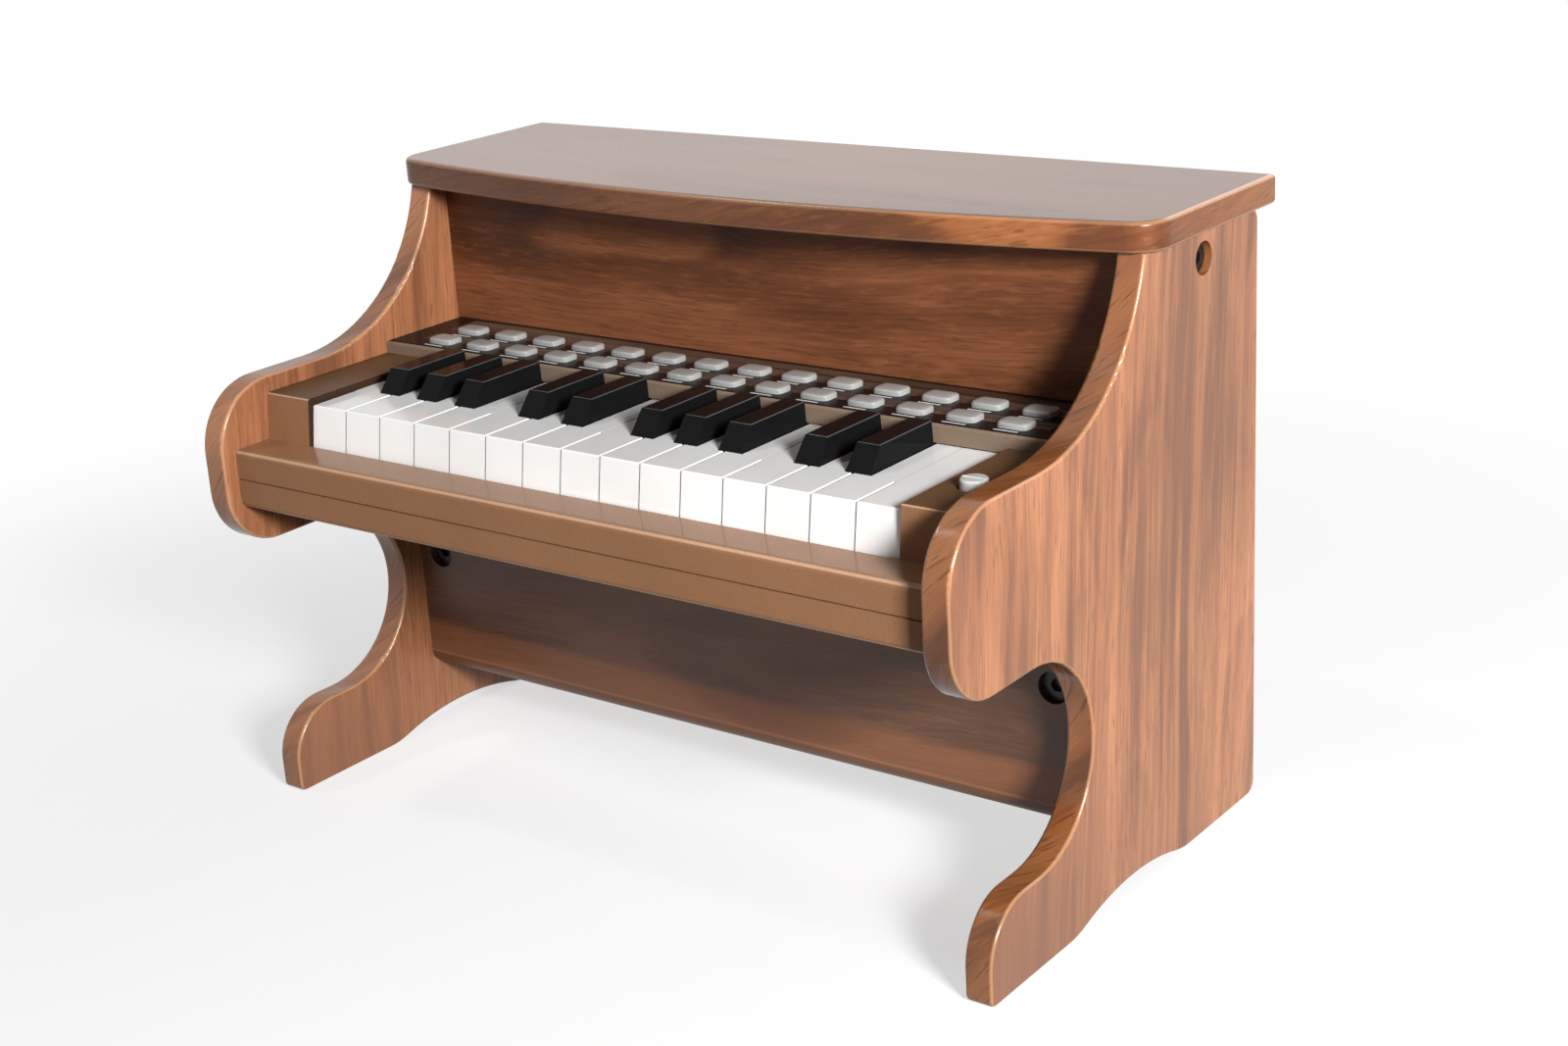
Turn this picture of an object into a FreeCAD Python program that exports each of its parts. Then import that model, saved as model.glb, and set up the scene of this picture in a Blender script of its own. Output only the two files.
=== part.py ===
import FreeCAD, Part
import math
import os

# Millimetres. +X is the player's right, the player sits on the -Y side, +Z is up.
# The origin is on the floor, under the middle of the box around the whole piano.

# Wooden case
overall_height = 265.0
side_thickness = 12.0
lid_thickness = 12.0
panel_thickness = 12.0
board_edge_round = 1.6
lid_side_overhang = 5.2
lid_back_overhang = 3.5
lid_depth = 117.5
lid_bow = 19.7
lid_corner_radius = 14.0
lid_edge_round = 2.0

# Outline of a side panel, measured forward from its straight back edge and up from the floor;
# the notch goes in from the front of the arm, and the foot comes forward from the end of the notch
side_depth = 229.0
side_top_depth = 92.5
arm_top = 191.5
arm_bottom = 120.0
nose_top_radius = 29.0
nose_bottom_radius = 25.5
arm_flat = 30.5
notch_depth = 94.1
foot_reach = 75.6
foot_height = 37.5
foot_radius = 24.0
toe_radius = 3.0
arch_back = 64.5
arch_front = 148.5
arch_rise = 7.0
arch_corner_radius = 40.0
heel_radius = 6.0

# Boards and battens between the side panels, measured the same way
upper_panel_setback = 82.5
knee_panel_setback = 122.5
knee_panel_bottom = 31.0
knee_panel_round = 6.0
batten_height = 23.0
batten_width = 48.0
corner_batten_width = 25.6
corner_batten_depth = 30.0
corner_screw_inset = 25.0

# Cabinet bolts and their threaded inserts
bolt_diameter = 6.0
bolt_length = 30.0
bolt_head_diameter = 12.5
bolt_head_thickness = 3.0
bolt_socket_flats = 5.0
bolt_socket_depth = 2.2
bolt_recess = 3.0
bolt_hole_clearance = 0.4
knee_bolt_height = 88.0
insert_diameter = 9.0
insert_length = 15.0
insert_fit = 0.05

# Pan-head screws, all alike
screw_diameter = 2.4
screw_length = 12.0
screw_head_diameter = 5.6
screw_head_thickness = 2.2
screw_clearance = 0.1
screw_wood_grip = 4.0
screw_boss_grip = 2.0
screw_head_clearance = 0.2

# Keyboard unit
white_count = 15
key_pitch = 20.0
bay_clearance = 0.5
cheek_width = 25.2
shell_fit = 0.2
shell_wall = 2.5
rail_depth = 19.0
shell_bottom = 139.0
lower_shell_height = 13.0
rail_height = 12.3
rail_round = 2.5
cheek_height = 20.0
cheek_lean = 2.4
cheek_length = 73.5
shell_round = 1.2
deck_depth = 47.0
deck_height = 25.2
reveal_height = 0.7
reveal_depth = 0.8
boss_diameter = 6.5
boss_base_diameter = 9.0
boss_base_height = 6.0
boss_column = 110.0
back_boss_shift = 13.0
cheek_screw_inset = 19.5

# Keys
white_drop = 2.9
white_height = 21.4
white_lean = 3.4
white_front_gap = 0.9
white_head_length = 26.2
white_wall = 1.8
white_round = 0.6
key_gap = 0.7
black_width = 11.3
black_top_width = 10.3
black_height = 9.4
black_skirt = 19.0
black_slant = 7.5
black_gap = 0.7
black_round = 0.7
black_end_gap = 0.5
black_wall = 1.8
riser_gap = 0.7
neck_overlap = 1.5
tail_width = 7.0
tail_height = 11.0
tail_drop = 18.4
tail_behind_pivot = 4.0
pivot_setback = 14.0
key_dip_degrees = 2.2
key_stop_gap = 0.4
hinge_rod_diameter = 3.0
hinge_running_gap = 0.05
hinge_post_thickness = 3.0
hinge_post_cap = 4.0
hinge_post_fit = 0.05
# Black keys of one octave: the white key on the left of each, and its shift from that key's edge
black_shifts = {1: -1.5, 2: 0.5, 3: 2.5, 5: -1.5, 6: 2.0}
octave_whites = 7

# Tone buttons and their overlay
button_columns = 14
button_pitch = 22.8
button_width = 13.4
button_length = 9.4
button_corner = 2.6
button_edge = 1.2
button_rise = 2.4
button_travel = 1.0
button_gap = 0.35
button_flange = 1.2
button_flange_thickness = 1.2
button_stem_diameter = 3.2
button_stem = 2.6
front_row_setback = 10.0
row_spacing = 18.0
overlay_thickness = 0.4
overlay_margin = 1.2

# Circuit boards, loudspeaker, battery compartment and volume control
board_thickness = 1.6
switch_size = 5.0
switch_height = 2.4
button_board_end = 15.0
button_board_gap = 0.5
stake_boss_diameter = 5.0
stake_diameter = 2.4
stake_clearance = 0.1
stake_end = 1.0
contact_setback = 18.0
contact_strip_width = 10.0
contact_strip_end = 10.0
main_board_depth = 30.0
main_board_lift = 6.5
main_board_end = 6.0
speaker_diameter = 40.0
speaker_height = 9.5
speaker_magnet_diameter = 22.0
speaker_cone_height = 4.0
speaker_x = -75.0
speaker_front_gap = 8.0
speaker_hole_diameter = 3.2
speaker_hole_step = 5.5
battery_bay_length = 52.0
battery_bay_width = 34.0
battery_bay_height = 10.5
battery_bay_wall = 1.5
battery_bay_gap = 1.5
battery_x = 55.0
battery_ledge = 2.0
battery_door_thickness = 1.4
battery_door_gap = 0.3
battery_door_ear = 9.0
knob_diameter = 11.6
knob_rise = 5.6
knob_sink = 4.0
knob_gap = 0.8
knob_edge = 0.8
knob_ridge = 1.6
knob_ridge_rise = 0.7
knob_setback = 30.0
knob_stem_diameter = 4.0
knob_stem_length = 10.0
knob_turning_gap = 0.05
pot_size = 10.0
pot_height = 6.0
pot_bush_diameter = 7.0
pot_bush_height = 5.0
pot_bore_depth = 3.0
pot_bottom_gap = 0.4

# Levels and places that follow from the sizes above
side_back = (side_depth + lid_back_overhang) / 2 - lid_back_overhang
side_top = overall_height - lid_thickness
bay_half = white_count * key_pitch / 2 + bay_clearance
shell_half = bay_half + cheek_width
inner_half = shell_half + shell_fit
outer_half = inner_half + side_thickness
lid_half = outer_half + lid_side_overhang
lid_back = side_back + lid_back_overhang

upper_panel_front = side_back - upper_panel_setback
upper_panel_back = upper_panel_front + panel_thickness
knee_panel_front = side_back - knee_panel_setback
knee_panel_back = knee_panel_front + panel_thickness

shell_back = upper_panel_front
floor_top = shell_bottom + shell_wall
parting = shell_bottom + lower_shell_height
rail_top = parting + rail_height
cheek_top = rail_top + cheek_height
deck_top = rail_top + deck_height
riser = shell_back - deck_depth
cheek_front = riser - cheek_length
shell_front = cheek_front - rail_depth
cheek_x = bay_half + cheek_width / 2
boss_meeting = floor_top + boss_base_height

key_top = cheek_top - white_drop
key_bottom = key_top - white_height
key_front = cheek_front + white_front_gap
head_back = key_front + white_lean + white_head_length
neck_back = riser + neck_overlap
black_front = head_back + black_gap
black_back = riser - black_end_gap
black_top = key_top + black_height
black_bottom = key_top - black_skirt
pivot_y = shell_back - pivot_setback
tail_bottom = key_top - tail_drop
tail_top = tail_bottom + tail_height
tail_end = pivot_y + tail_behind_pivot
pivot_z = tail_bottom + tail_height / 2
contact_y = riser - contact_setback
contact_reach = pivot_y - contact_y + contact_strip_width / 2
contact_top = key_bottom - contact_reach * math.tan(math.radians(key_dip_degrees)) - key_stop_gap

button_top = deck_top + overlay_thickness + button_rise
front_row = riser + front_row_setback
back_row = front_row + row_spacing
flange_top = deck_top - shell_wall - shell_fit
flange_bottom = flange_top - button_flange_thickness
stem_bottom = flange_bottom - button_stem
switch_top = stem_bottom - button_travel - button_gap
button_board_top = switch_top - switch_height
button_board_half = button_pitch * (button_columns - 1) / 2 + button_board_end
button_board_front = riser + shell_wall + button_board_gap
button_board_back = back_row + button_length

main_board_bottom = floor_top + main_board_lift
main_board_top = main_board_bottom + board_thickness
main_board_half = bay_half - main_board_end
main_board_front = contact_y - main_board_depth / 2
main_board_back = contact_y + main_board_depth / 2
speaker_y = shell_front + shell_wall + speaker_front_gap + speaker_diameter / 2
battery_y = cheek_front + battery_bay_gap + battery_bay_wall + battery_bay_width / 2
battery_screw_x = battery_x + battery_bay_length / 2 + battery_ledge + battery_door_ear / 2
knob_y = cheek_front + knob_setback
knob_bottom = cheek_top - knob_sink
knob_top = cheek_top + knob_rise
knob_stem_end = knob_bottom - knob_stem_length
pot_top = knob_stem_end - pot_bottom_gap + pot_bore_depth
pot_bottom = pot_top - pot_height

V = FreeCAD.Vector
X_DIR = V(1, 0, 0)
Y_DIR = V(0, 1, 0)
Z_DIR = V(0, 0, 1)
SIDES = (-1, 1)


def box(x0, x1, y0, y1, z0, z1):
    """A block between two corners."""
    return Part.makeBox(abs(x1 - x0), y1 - y0, z1 - z0, V(min(x0, x1), y0, z0))


def bar(diameter, start, direction, length):
    """A round bar from a start point."""
    return Part.makeCylinder(diameter / 2, length, start, direction)


def fuse(solids):
    """Join touching solids into one clean solid."""
    return solids[0].fuse(solids[1:]).removeSplitter()


def carved(solid, cuts):
    """Take away those cuts that reach the solid."""
    near = [cut for cut in cuts if solid.BoundBox.intersect(cut.BoundBox)]
    return solid.cut(near) if near else solid


def rounded(solid, radius, chosen):
    """Round the chosen edges of a solid."""
    return solid.makeFillet(radius, [edge for edge in solid.Edges if chosen(edge)])


def lies_at(edge, axis, value):
    """True for an edge that lies whole in the plane where this coordinate has the value."""
    return all(abs(getattr(vertex.Point, axis) - value) < 1e-5 for vertex in edge.Vertexes)


def profile(points, x0, x1):
    """A block along X with a YZ polygon as its section; a point may carry a corner radius."""
    loop = [V(x0, point[0], point[1]) for point in points + points[:1]]
    solid = Part.Face(Part.makePolygon(loop)).extrude(V(x1 - x0, 0, 0))
    for y, z, radius in [point for point in points if len(point) == 3]:
        solid = rounded(solid, radius, lambda edge: lies_at(edge, "y", y) and lies_at(edge, "z", z))
    return solid


def rounded_block(x, y, width, length, corner, z0, z1):
    """An upright block with rounded corners."""
    block = box(x - width / 2, x + width / 2, y - length / 2, y + length / 2, z0, z1)
    return rounded(block, corner, lambda edge: edge.BoundBox.ZLength > (z1 - z0) / 2)


def hexagon_bar(flats, start, direction, length):
    """A six-sided bar, for the socket of a bolt head."""
    turn = FreeCAD.Rotation(Z_DIR, direction)
    corners = []
    for step in range(7):
        angle = step * math.pi / 3
        corner = V(math.cos(angle), math.sin(angle), 0) * (flats / math.sqrt(3))
        corners.append(start + turn.multVec(corner))
    return Part.Face(Part.makePolygon(corners)).extrude(direction * length)


def arc(centre, radius, start_degrees, end_degrees):
    """An arc in the YZ plane, with angles counted from +Y towards +Z."""
    points = []
    for degrees in (start_degrees, (start_degrees + end_degrees) / 2, end_degrees):
        angle = math.radians(degrees)
        points.append(V(0, centre[0] + radius * math.cos(angle), centre[1] + radius * math.sin(angle)))
    return points


def outline_face(arcs):
    """A face from a closed run of three-point arcs, joined by straight lines."""
    edges = []
    for current, following in zip(arcs, arcs[1:] + arcs[:1]):
        edges.append(Part.Arc(*current).toShape())
        if current[2].distanceToPoint(following[0]) > 1e-6:
            edges.append(Part.LineSegment(current[2], following[0]).toShape())
    return Part.Face(Part.Wire(edges))


# Fasteners

def bolt_places():
    """Head seat, driving direction and board thickness of each cabinet bolt."""
    sunk = bolt_recess + bolt_head_thickness
    batten_middle = upper_panel_back + batten_width / 2
    corner_middle = inner_half - corner_batten_width / 2
    places = []
    for side in SIDES:
        lid_seat = V(side * (outer_half - sunk), batten_middle, side_top - batten_height / 2)
        knee_seat = V(side * corner_middle, knee_panel_front + sunk, knee_bolt_height)
        places.append((lid_seat, V(-side, 0, 0), side_thickness))
        places.append((knee_seat, Y_DIR, panel_thickness))
    return places


def cabinet_bolts():
    """Black bolts with a flat round head and a hexagon socket."""
    bolts = []
    for seat, direction, board in bolt_places():
        outward = direction * -1
        head = bar(bolt_head_diameter, seat, outward, bolt_head_thickness)
        shank = bar(bolt_diameter, seat, direction, bolt_length)
        socket_floor = seat + outward * (bolt_head_thickness - bolt_socket_depth)
        socket = hexagon_bar(bolt_socket_flats, socket_floor, outward, bolt_socket_depth)
        bolts.append(head.fuse(shank).cut(socket))
    return bolts


def threaded_inserts():
    """Sleeves in the battens, each starting where its bolt leaves the board."""
    sleeves = []
    for seat, direction, board in bolt_places():
        start = seat + direction * (board - bolt_recess - bolt_head_thickness)
        bore = bar(bolt_diameter + 2 * insert_fit, start, direction, insert_length)
        sleeves.append(bar(insert_diameter, start, direction, insert_length).cut(bore))
    return sleeves


def bolt_cuts():
    """Counterbore, bolt hole and insert hole for each cabinet bolt."""
    cuts = []
    for seat, direction, board in bolt_places():
        sunk = bolt_recess + bolt_head_thickness
        head_width = bolt_head_diameter + 2 * bolt_hole_clearance
        hole_width = bolt_diameter + 2 * bolt_hole_clearance
        start = seat + direction * (board - sunk)
        cuts.append(bar(head_width, seat, direction * -1, sunk))
        cuts.append(bar(hole_width, seat, direction, bolt_length + bolt_hole_clearance))
        cuts.append(bar(insert_diameter + 2 * insert_fit, start, direction, insert_length))
    return cuts


def boss_places():
    """Bosses that close the two shells, with the ceiling that each hangs from."""
    places = []
    for side in SIDES:
        for y in (cheek_front + boss_diameter, riser - boss_diameter):
            places.append((side * cheek_x, y, cheek_top))
    for x in (-boss_column, 0, boss_column):
        places.append((x, shell_back - shell_wall - boss_diameter / 2, deck_top))
        places.append((x, shell_front + shell_wall + boss_diameter, rail_top))
    return places


def back_boss_places():
    """Bosses on the unit's back wall for the screws through the upper panel."""
    height = (parting + rail_top) / 2
    return [V(x + back_boss_shift, shell_back, height) for x in (-boss_column, 0, boss_column)]


def screw_places():
    """Head seat, driving direction and depth of the hole behind the head, for each screw."""
    places = []
    boss_seat = boss_meeting - screw_boss_grip
    for x, y, ceiling in boss_places():
        places.append((V(x, y, boss_seat), Z_DIR, boss_seat - shell_bottom))
    for start in back_boss_places():
        places.append((start + Y_DIR * screw_wood_grip, Y_DIR * -1, panel_thickness - screw_wood_grip))
    for x in (-boss_column, 0, boss_column):
        seat = V(x, upper_panel_back + batten_width / 2, side_top - screw_wood_grip)
        places.append((seat, Z_DIR, batten_height - screw_wood_grip))
    for side in SIDES:
        outward = V(side, 0, 0)
        for y in (cheek_front + cheek_screw_inset, riser - cheek_screw_inset):
            places.append((V(side * (shell_half - shell_wall), y, rail_top), outward, screw_head_thickness))
        for z in (knee_panel_bottom + corner_screw_inset, shell_bottom - corner_screw_inset):
            seat = V(side * (inner_half - screw_wood_grip), knee_panel_back + corner_batten_depth / 2, z)
            places.append((seat, outward, corner_batten_width - screw_wood_grip))
    places.append((V(battery_screw_x, battery_y, shell_bottom), Z_DIR, screw_head_thickness))
    return places


def panhead_screws():
    """Every screw of the piano, each with its rounded head."""
    screws = []
    for seat, direction, pocket in screw_places():
        head = bar(screw_head_diameter, seat, direction * -1, screw_head_thickness)
        shank = bar(screw_diameter, seat, direction, screw_length)
        screws.append(head.fuse(shank))
    return screws


def screw_cuts():
    """Clearance for each screw's shank, and the pocket that its head goes in through."""
    cuts = []
    for seat, direction, pocket in screw_places():
        cuts.append(bar(screw_head_diameter + 2 * screw_head_clearance, seat, direction * -1, pocket))
        hole_depth = screw_length + screw_clearance
        cuts.append(bar(screw_diameter + 2 * screw_clearance, seat, direction, hole_depth))
    return cuts


# Wooden case

def side_panel(side, cuts):
    """One scrolled side panel with rounded outer edges."""
    knee_radius = (arm_bottom - foot_height) / 2
    nose = side_back - side_depth
    notch_end = nose + notch_depth
    knee_centre = (notch_end - knee_radius, arm_bottom - knee_radius)
    toe = notch_end - foot_reach
    rise = side_top - arm_top
    run = side_depth - nose_top_radius - arm_flat - side_top_depth
    sweep_radius = (run ** 2 + rise ** 2) / (2 * rise)
    sweep_end = math.asin((rise - sweep_radius) / sweep_radius)
    sweep_centre = (nose + nose_top_radius + arm_flat, arm_top + sweep_radius)
    half_arch = (arch_front - arch_back) / 2
    arch_radius = (half_arch ** 2 + arch_rise ** 2) / (2 * arch_rise)
    arch_angle = math.degrees(math.asin(half_arch / arch_radius))
    arch_centre = (side_back - arch_back - half_arch, arch_rise - arch_radius)
    face = outline_face([
        arc((side_back - heel_radius, side_top - heel_radius), heel_radius, 90, 0),
        arc((side_back - heel_radius, heel_radius), heel_radius, 0, -90),
        arc(arch_centre, arch_radius, 90 - arch_angle, 90 + arch_angle),
        arc((toe + toe_radius, toe_radius), toe_radius, -90, -180),
        arc((toe + foot_radius, foot_height - foot_radius), foot_radius, 180, 90),
        arc(knee_centre, knee_radius, -90, 90),
        arc((nose + nose_bottom_radius, arm_bottom + nose_bottom_radius), nose_bottom_radius, -90, -180),
        arc((nose + nose_top_radius, arm_top - nose_top_radius), nose_top_radius, 180, 90),
        arc(sweep_centre, sweep_radius, -90, math.degrees(sweep_end)),
    ])
    inner = min(side * inner_half, side * outer_half)
    panel = face.extrude(V(side_thickness, 0, 0))
    panel.translate(V(inner, 0, 0))

    def arch_corner(edge):
        ends = (side_back - arch_back, side_back - arch_front)
        return lies_at(edge, "z", 0) and any(lies_at(edge, "y", end) for end in ends)

    def on_rim(edge):
        flat = lies_at(edge, "x", inner) or lies_at(edge, "x", inner + side_thickness)
        return flat and not lies_at(edge, "z", side_top)

    panel = rounded(panel, arch_corner_radius, arch_corner)
    return carved(rounded(panel, board_edge_round, on_rim), cuts)


def top_lid(cuts):
    """The lid: straight at the back and sides, bowed in front, with rounded corners and edges."""
    end = lid_back - lid_depth + lid_bow
    bow = Part.Arc(V(lid_half, end, 0), V(0, lid_back - lid_depth, 0), V(-lid_half, end, 0)).toShape()
    corners = [(-lid_half, end), (-lid_half, lid_back), (lid_half, lid_back), (lid_half, end)]
    rim = Part.makePolygon([V(x, y, 0) for x, y in corners])
    lid = Part.Face(Part.Wire([bow] + rim.Edges)).extrude(V(0, 0, lid_thickness))
    lid.translate(V(0, 0, side_top))

    def front_corner(edge):
        return edge.BoundBox.ZLength > lid_thickness / 2 and lies_at(edge, "y", end)

    lid = rounded(lid, lid_corner_radius, front_corner)
    lid = rounded(lid, lid_edge_round, lambda edge: edge.BoundBox.ZLength < lid_thickness / 2)
    return carved(lid, cuts)


def upper_front_panel(cuts):
    """The board behind the keyboard unit, from its underside up to the lid."""
    board = box(-inner_half, inner_half, upper_panel_front, upper_panel_back, shell_bottom, side_top)
    return carved(board, cuts)


def knee_panel(cuts):
    """The lower board, with its bottom front edge rounded over."""
    section = [
        (knee_panel_back, shell_bottom),
        (knee_panel_front, shell_bottom),
        (knee_panel_front, knee_panel_bottom, knee_panel_round),
        (knee_panel_back, knee_panel_bottom),
    ]
    return carved(profile(section, -inner_half, inner_half), cuts)


def lid_batten(cuts):
    """The batten under the lid that the side bolts draw the side panels against."""
    batten = box(-inner_half, inner_half, upper_panel_back, upper_panel_back + batten_width,
                 side_top - batten_height, side_top)
    return carved(batten, cuts)


def corner_battens(cuts):
    """Upright battens behind the knee panel, one against each side panel."""
    battens = []
    for side in SIDES:
        batten = box(side * (inner_half - corner_batten_width), side * inner_half, knee_panel_back,
                     knee_panel_back + corner_batten_depth, knee_panel_bottom, shell_bottom)
        battens.append(carved(batten, cuts))
    return battens


# Keyboard unit

def upper_shell(cuts):
    """Rail, cheeks, riser and button deck in one moulding that is open below."""
    section = [
        (shell_back, parting),
        (shell_back, deck_top),
        (riser, deck_top, shell_round),
        (riser, cheek_top),
        (cheek_front + cheek_lean, cheek_top, shell_round),
        (cheek_front, rail_top),
        (shell_front, rail_top, rail_round),
        (shell_front, parting),
    ]
    shell = profile(section, -shell_half, shell_half)
    room_half = shell_half - shell_wall
    rail_room = rail_top - shell_wall
    cheek_room = cheek_top - shell_wall
    deck_room = deck_top - shell_wall
    hollows = [
        box(-bay_half, bay_half, cheek_front, riser, parting, deck_top),
        box(-room_half, room_half, shell_front + shell_wall, cheek_front - shell_wall, parting, rail_room),
        box(-room_half, room_half, riser + shell_wall, shell_back - shell_wall, parting, deck_room),
        box(-bay_half, bay_half, riser, riser + shell_wall, parting, key_top + riser_gap),
    ]
    for side in SIDES:
        near = side * (bay_half + shell_wall)
        far = side * room_half
        step = cheek_front + cheek_lean + shell_wall
        hollows.append(box(near, far, cheek_front - shell_wall, step, parting, rail_room))
        hollows.append(box(near, far, step, riser + shell_wall, parting, cheek_room))
    shell = shell.cut(hollows)
    bosses = []
    for x, y, ceiling in boss_places():
        height = ceiling - shell_wall / 2 - boss_meeting
        bosses.append(bar(boss_diameter, V(x, y, boss_meeting), Z_DIR, height))
    reach = screw_length - screw_wood_grip
    for start in back_boss_places():
        bosses.append(bar(boss_diameter, start - Y_DIR * (shell_wall / 2), Y_DIR * -1, reach))
    under = deck_top - shell_wall / 2
    stake = board_thickness + stake_end
    for x, y in stake_places():
        bosses.append(bar(stake_boss_diameter, V(x, y, button_board_top), Z_DIR, under - button_board_top))
        bosses.append(bar(stake_diameter, V(x, y, button_board_top - stake), Z_DIR, stake))
    shell = fuse([shell] + bosses)
    knob_hole = knob_diameter + 2 * knob_gap
    openings = [bar(knob_hole, V(cheek_x, knob_y, knob_bottom), Z_DIR, knob_top - knob_bottom)]
    for x, y in button_places():
        openings.append(button_opening(x, y))
    return carved(shell, openings + cuts)


def lower_shell(cuts):
    """The tray under the keys: floor, walls, bosses, hinge posts and battery compartment."""
    section = [
        (shell_back, parting),
        (shell_front, parting),
        (shell_front, shell_bottom, rail_round),
        (shell_back, shell_bottom),
    ]
    tray = profile(section, -shell_half, shell_half)
    room_half = shell_half - shell_wall
    room = box(-room_half, room_half, shell_front + shell_wall, shell_back - shell_wall, floor_top, parting)
    reveal = box(-shell_half, shell_half, shell_front, shell_front + reveal_depth,
                 parting - reveal_height, parting)
    tray = tray.cut([room, reveal])
    solids = [tray]
    root = shell_bottom + shell_wall / 2
    for x, y, ceiling in boss_places():
        solids.append(bar(boss_base_diameter, V(x, y, root), Z_DIR, boss_meeting - root))
    for x, y in main_board_posts():
        solids.append(bar(stake_boss_diameter, V(x, y, root), Z_DIR, main_board_bottom - root))
        solids.append(bar(stake_diameter, V(x, y, main_board_bottom), Z_DIR, board_thickness + stake_end))
    half = hinge_post_thickness / 2
    for x in hinge_post_places():
        solids.append(box(x - half, x + half, pivot_y - hinge_post_cap, pivot_y + hinge_post_cap,
                          root, pivot_z + hinge_post_cap))
    half = pot_size / 2
    solids.append(box(cheek_x - half, cheek_x + half, knob_y - half, knob_y + half, root, pot_bottom))
    solids.append(battery_block(battery_bay_wall, root, floor_top + battery_bay_height + battery_bay_wall))
    solids.append(bar(boss_base_diameter, V(battery_screw_x, battery_y, root), Z_DIR, screw_length))
    tray = fuse(solids)
    hinge_hole = bar(hinge_rod_diameter + 2 * hinge_post_fit, V(-shell_half, pivot_y, pivot_z), X_DIR,
                     2 * shell_half)
    openings = [hinge_hole, battery_block(0, shell_bottom, floor_top + battery_bay_height), door_block(0)]
    for radius, count in ((0, 1), (speaker_hole_step, 6), (2 * speaker_hole_step, 12)):
        for step in range(count):
            angle = 2 * math.pi * step / count
            x = speaker_x + radius * math.cos(angle)
            y = speaker_y + radius * math.sin(angle)
            openings.append(bar(speaker_hole_diameter, V(x, y, shell_bottom), Z_DIR, shell_wall))
    return carved(tray.cut(openings), cuts)


def battery_block(wall, z0, z1):
    """The battery compartment's room, grown by a wall."""
    half_length = battery_bay_length / 2 + wall
    half_width = battery_bay_width / 2 + wall
    return box(battery_x - half_length, battery_x + half_length,
               battery_y - half_width, battery_y + half_width, z0, z1)


def door_block(gap):
    """The step in the floor that the battery door lies in, or with a gap the door itself."""
    left = battery_x - battery_bay_length / 2 - battery_ledge
    right = battery_x + battery_bay_length / 2 + battery_ledge + battery_door_ear
    half_width = battery_bay_width / 2 + battery_ledge
    return box(left + gap, right - gap, battery_y - half_width + gap, battery_y + half_width - gap,
               shell_bottom, shell_bottom + battery_door_thickness)


def battery_door(cuts):
    """The flush door under the battery compartment, with the ear that its screw goes through."""
    return carved(door_block(battery_door_gap), cuts)


def hinge_post_places():
    """Posts for the hinge rod: both ends, and each place between two white keys with no black key."""
    end = bay_half + hinge_post_thickness / 2
    places = [-end, end]
    for white in range(1, white_count):
        if white_step(white) not in black_shifts:
            places.append(white_left(white + 1))
    return places


def main_board_posts():
    """Posts that carry the main board at its corners."""
    inset = stake_boss_diameter / 2
    places = []
    for side in SIDES:
        for y in (main_board_front + inset, main_board_back - inset):
            places.append((side * (main_board_half - inset), y))
    return places


def stake_places():
    """Bosses that carry the button board: both ends and the middle."""
    end = button_board_half - stake_boss_diameter
    return [(x, front_row + row_spacing / 2) for x in (-end, 0, end)]


def key_hinge_rod():
    """The steel rod that all keys turn on."""
    half = bay_half + hinge_post_thickness
    return bar(hinge_rod_diameter, V(-half, pivot_y, pivot_z), X_DIR, 2 * half)


def main_circuit_board():
    """The board under the keys, on its four posts."""
    board = box(-main_board_half, main_board_half, main_board_front, main_board_back,
                main_board_bottom, main_board_top)
    holes = [bar(stake_diameter + 2 * stake_clearance, V(x, y, main_board_bottom), Z_DIR, board_thickness)
             for x, y in main_board_posts()]
    return board.cut(holes)


def key_contact_strip():
    """The silicone strip that the keys land on, standing on the main board."""
    half = contact_strip_width / 2
    end = main_board_half - contact_strip_end
    return box(-end, end, contact_y - half, contact_y + half, main_board_top, contact_top)


def button_circuit_board():
    """The board under the deck, with one switch below each button."""
    board = box(-button_board_half, button_board_half, button_board_front, button_board_back,
                button_board_top - board_thickness, button_board_top)
    switches = []
    half = switch_size / 2
    for x, y in button_places():
        switches.append(box(x - half, x + half, y - half, y + half, button_board_top, switch_top))
    board = fuse([board] + switches)
    holes = [bar(stake_diameter + 2 * stake_clearance, V(x, y, button_board_top - board_thickness), Z_DIR,
                 board_thickness) for x, y in stake_places()]
    return board.cut(holes)


def loudspeaker():
    """A flat loudspeaker that faces down through the holes in the floor."""
    cone = bar(speaker_diameter, V(speaker_x, speaker_y, floor_top), Z_DIR, speaker_cone_height)
    cone_top = V(speaker_x, speaker_y, floor_top + speaker_cone_height)
    magnet = bar(speaker_magnet_diameter, cone_top, Z_DIR, speaker_height - speaker_cone_height)
    return fuse([cone, magnet])


# Volume control

def volume_knob():
    """The round knob with a pointer ridge across its top and a stem below."""
    crown = knob_top - knob_ridge_rise
    knob = bar(knob_diameter, V(cheek_x, knob_y, knob_bottom), Z_DIR, crown - knob_bottom)
    knob = rounded(knob, knob_edge, lambda edge: lies_at(edge, "z", crown))
    reach = knob_diameter / 2 - knob_edge
    ridge = box(cheek_x - reach, cheek_x + reach, knob_y - knob_ridge / 2, knob_y + knob_ridge / 2,
                crown - knob_ridge_rise, knob_top)
    stem = bar(knob_stem_diameter, V(cheek_x, knob_y, knob_stem_end), Z_DIR, knob_stem_length)
    return fuse([knob, ridge, stem])


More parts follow.
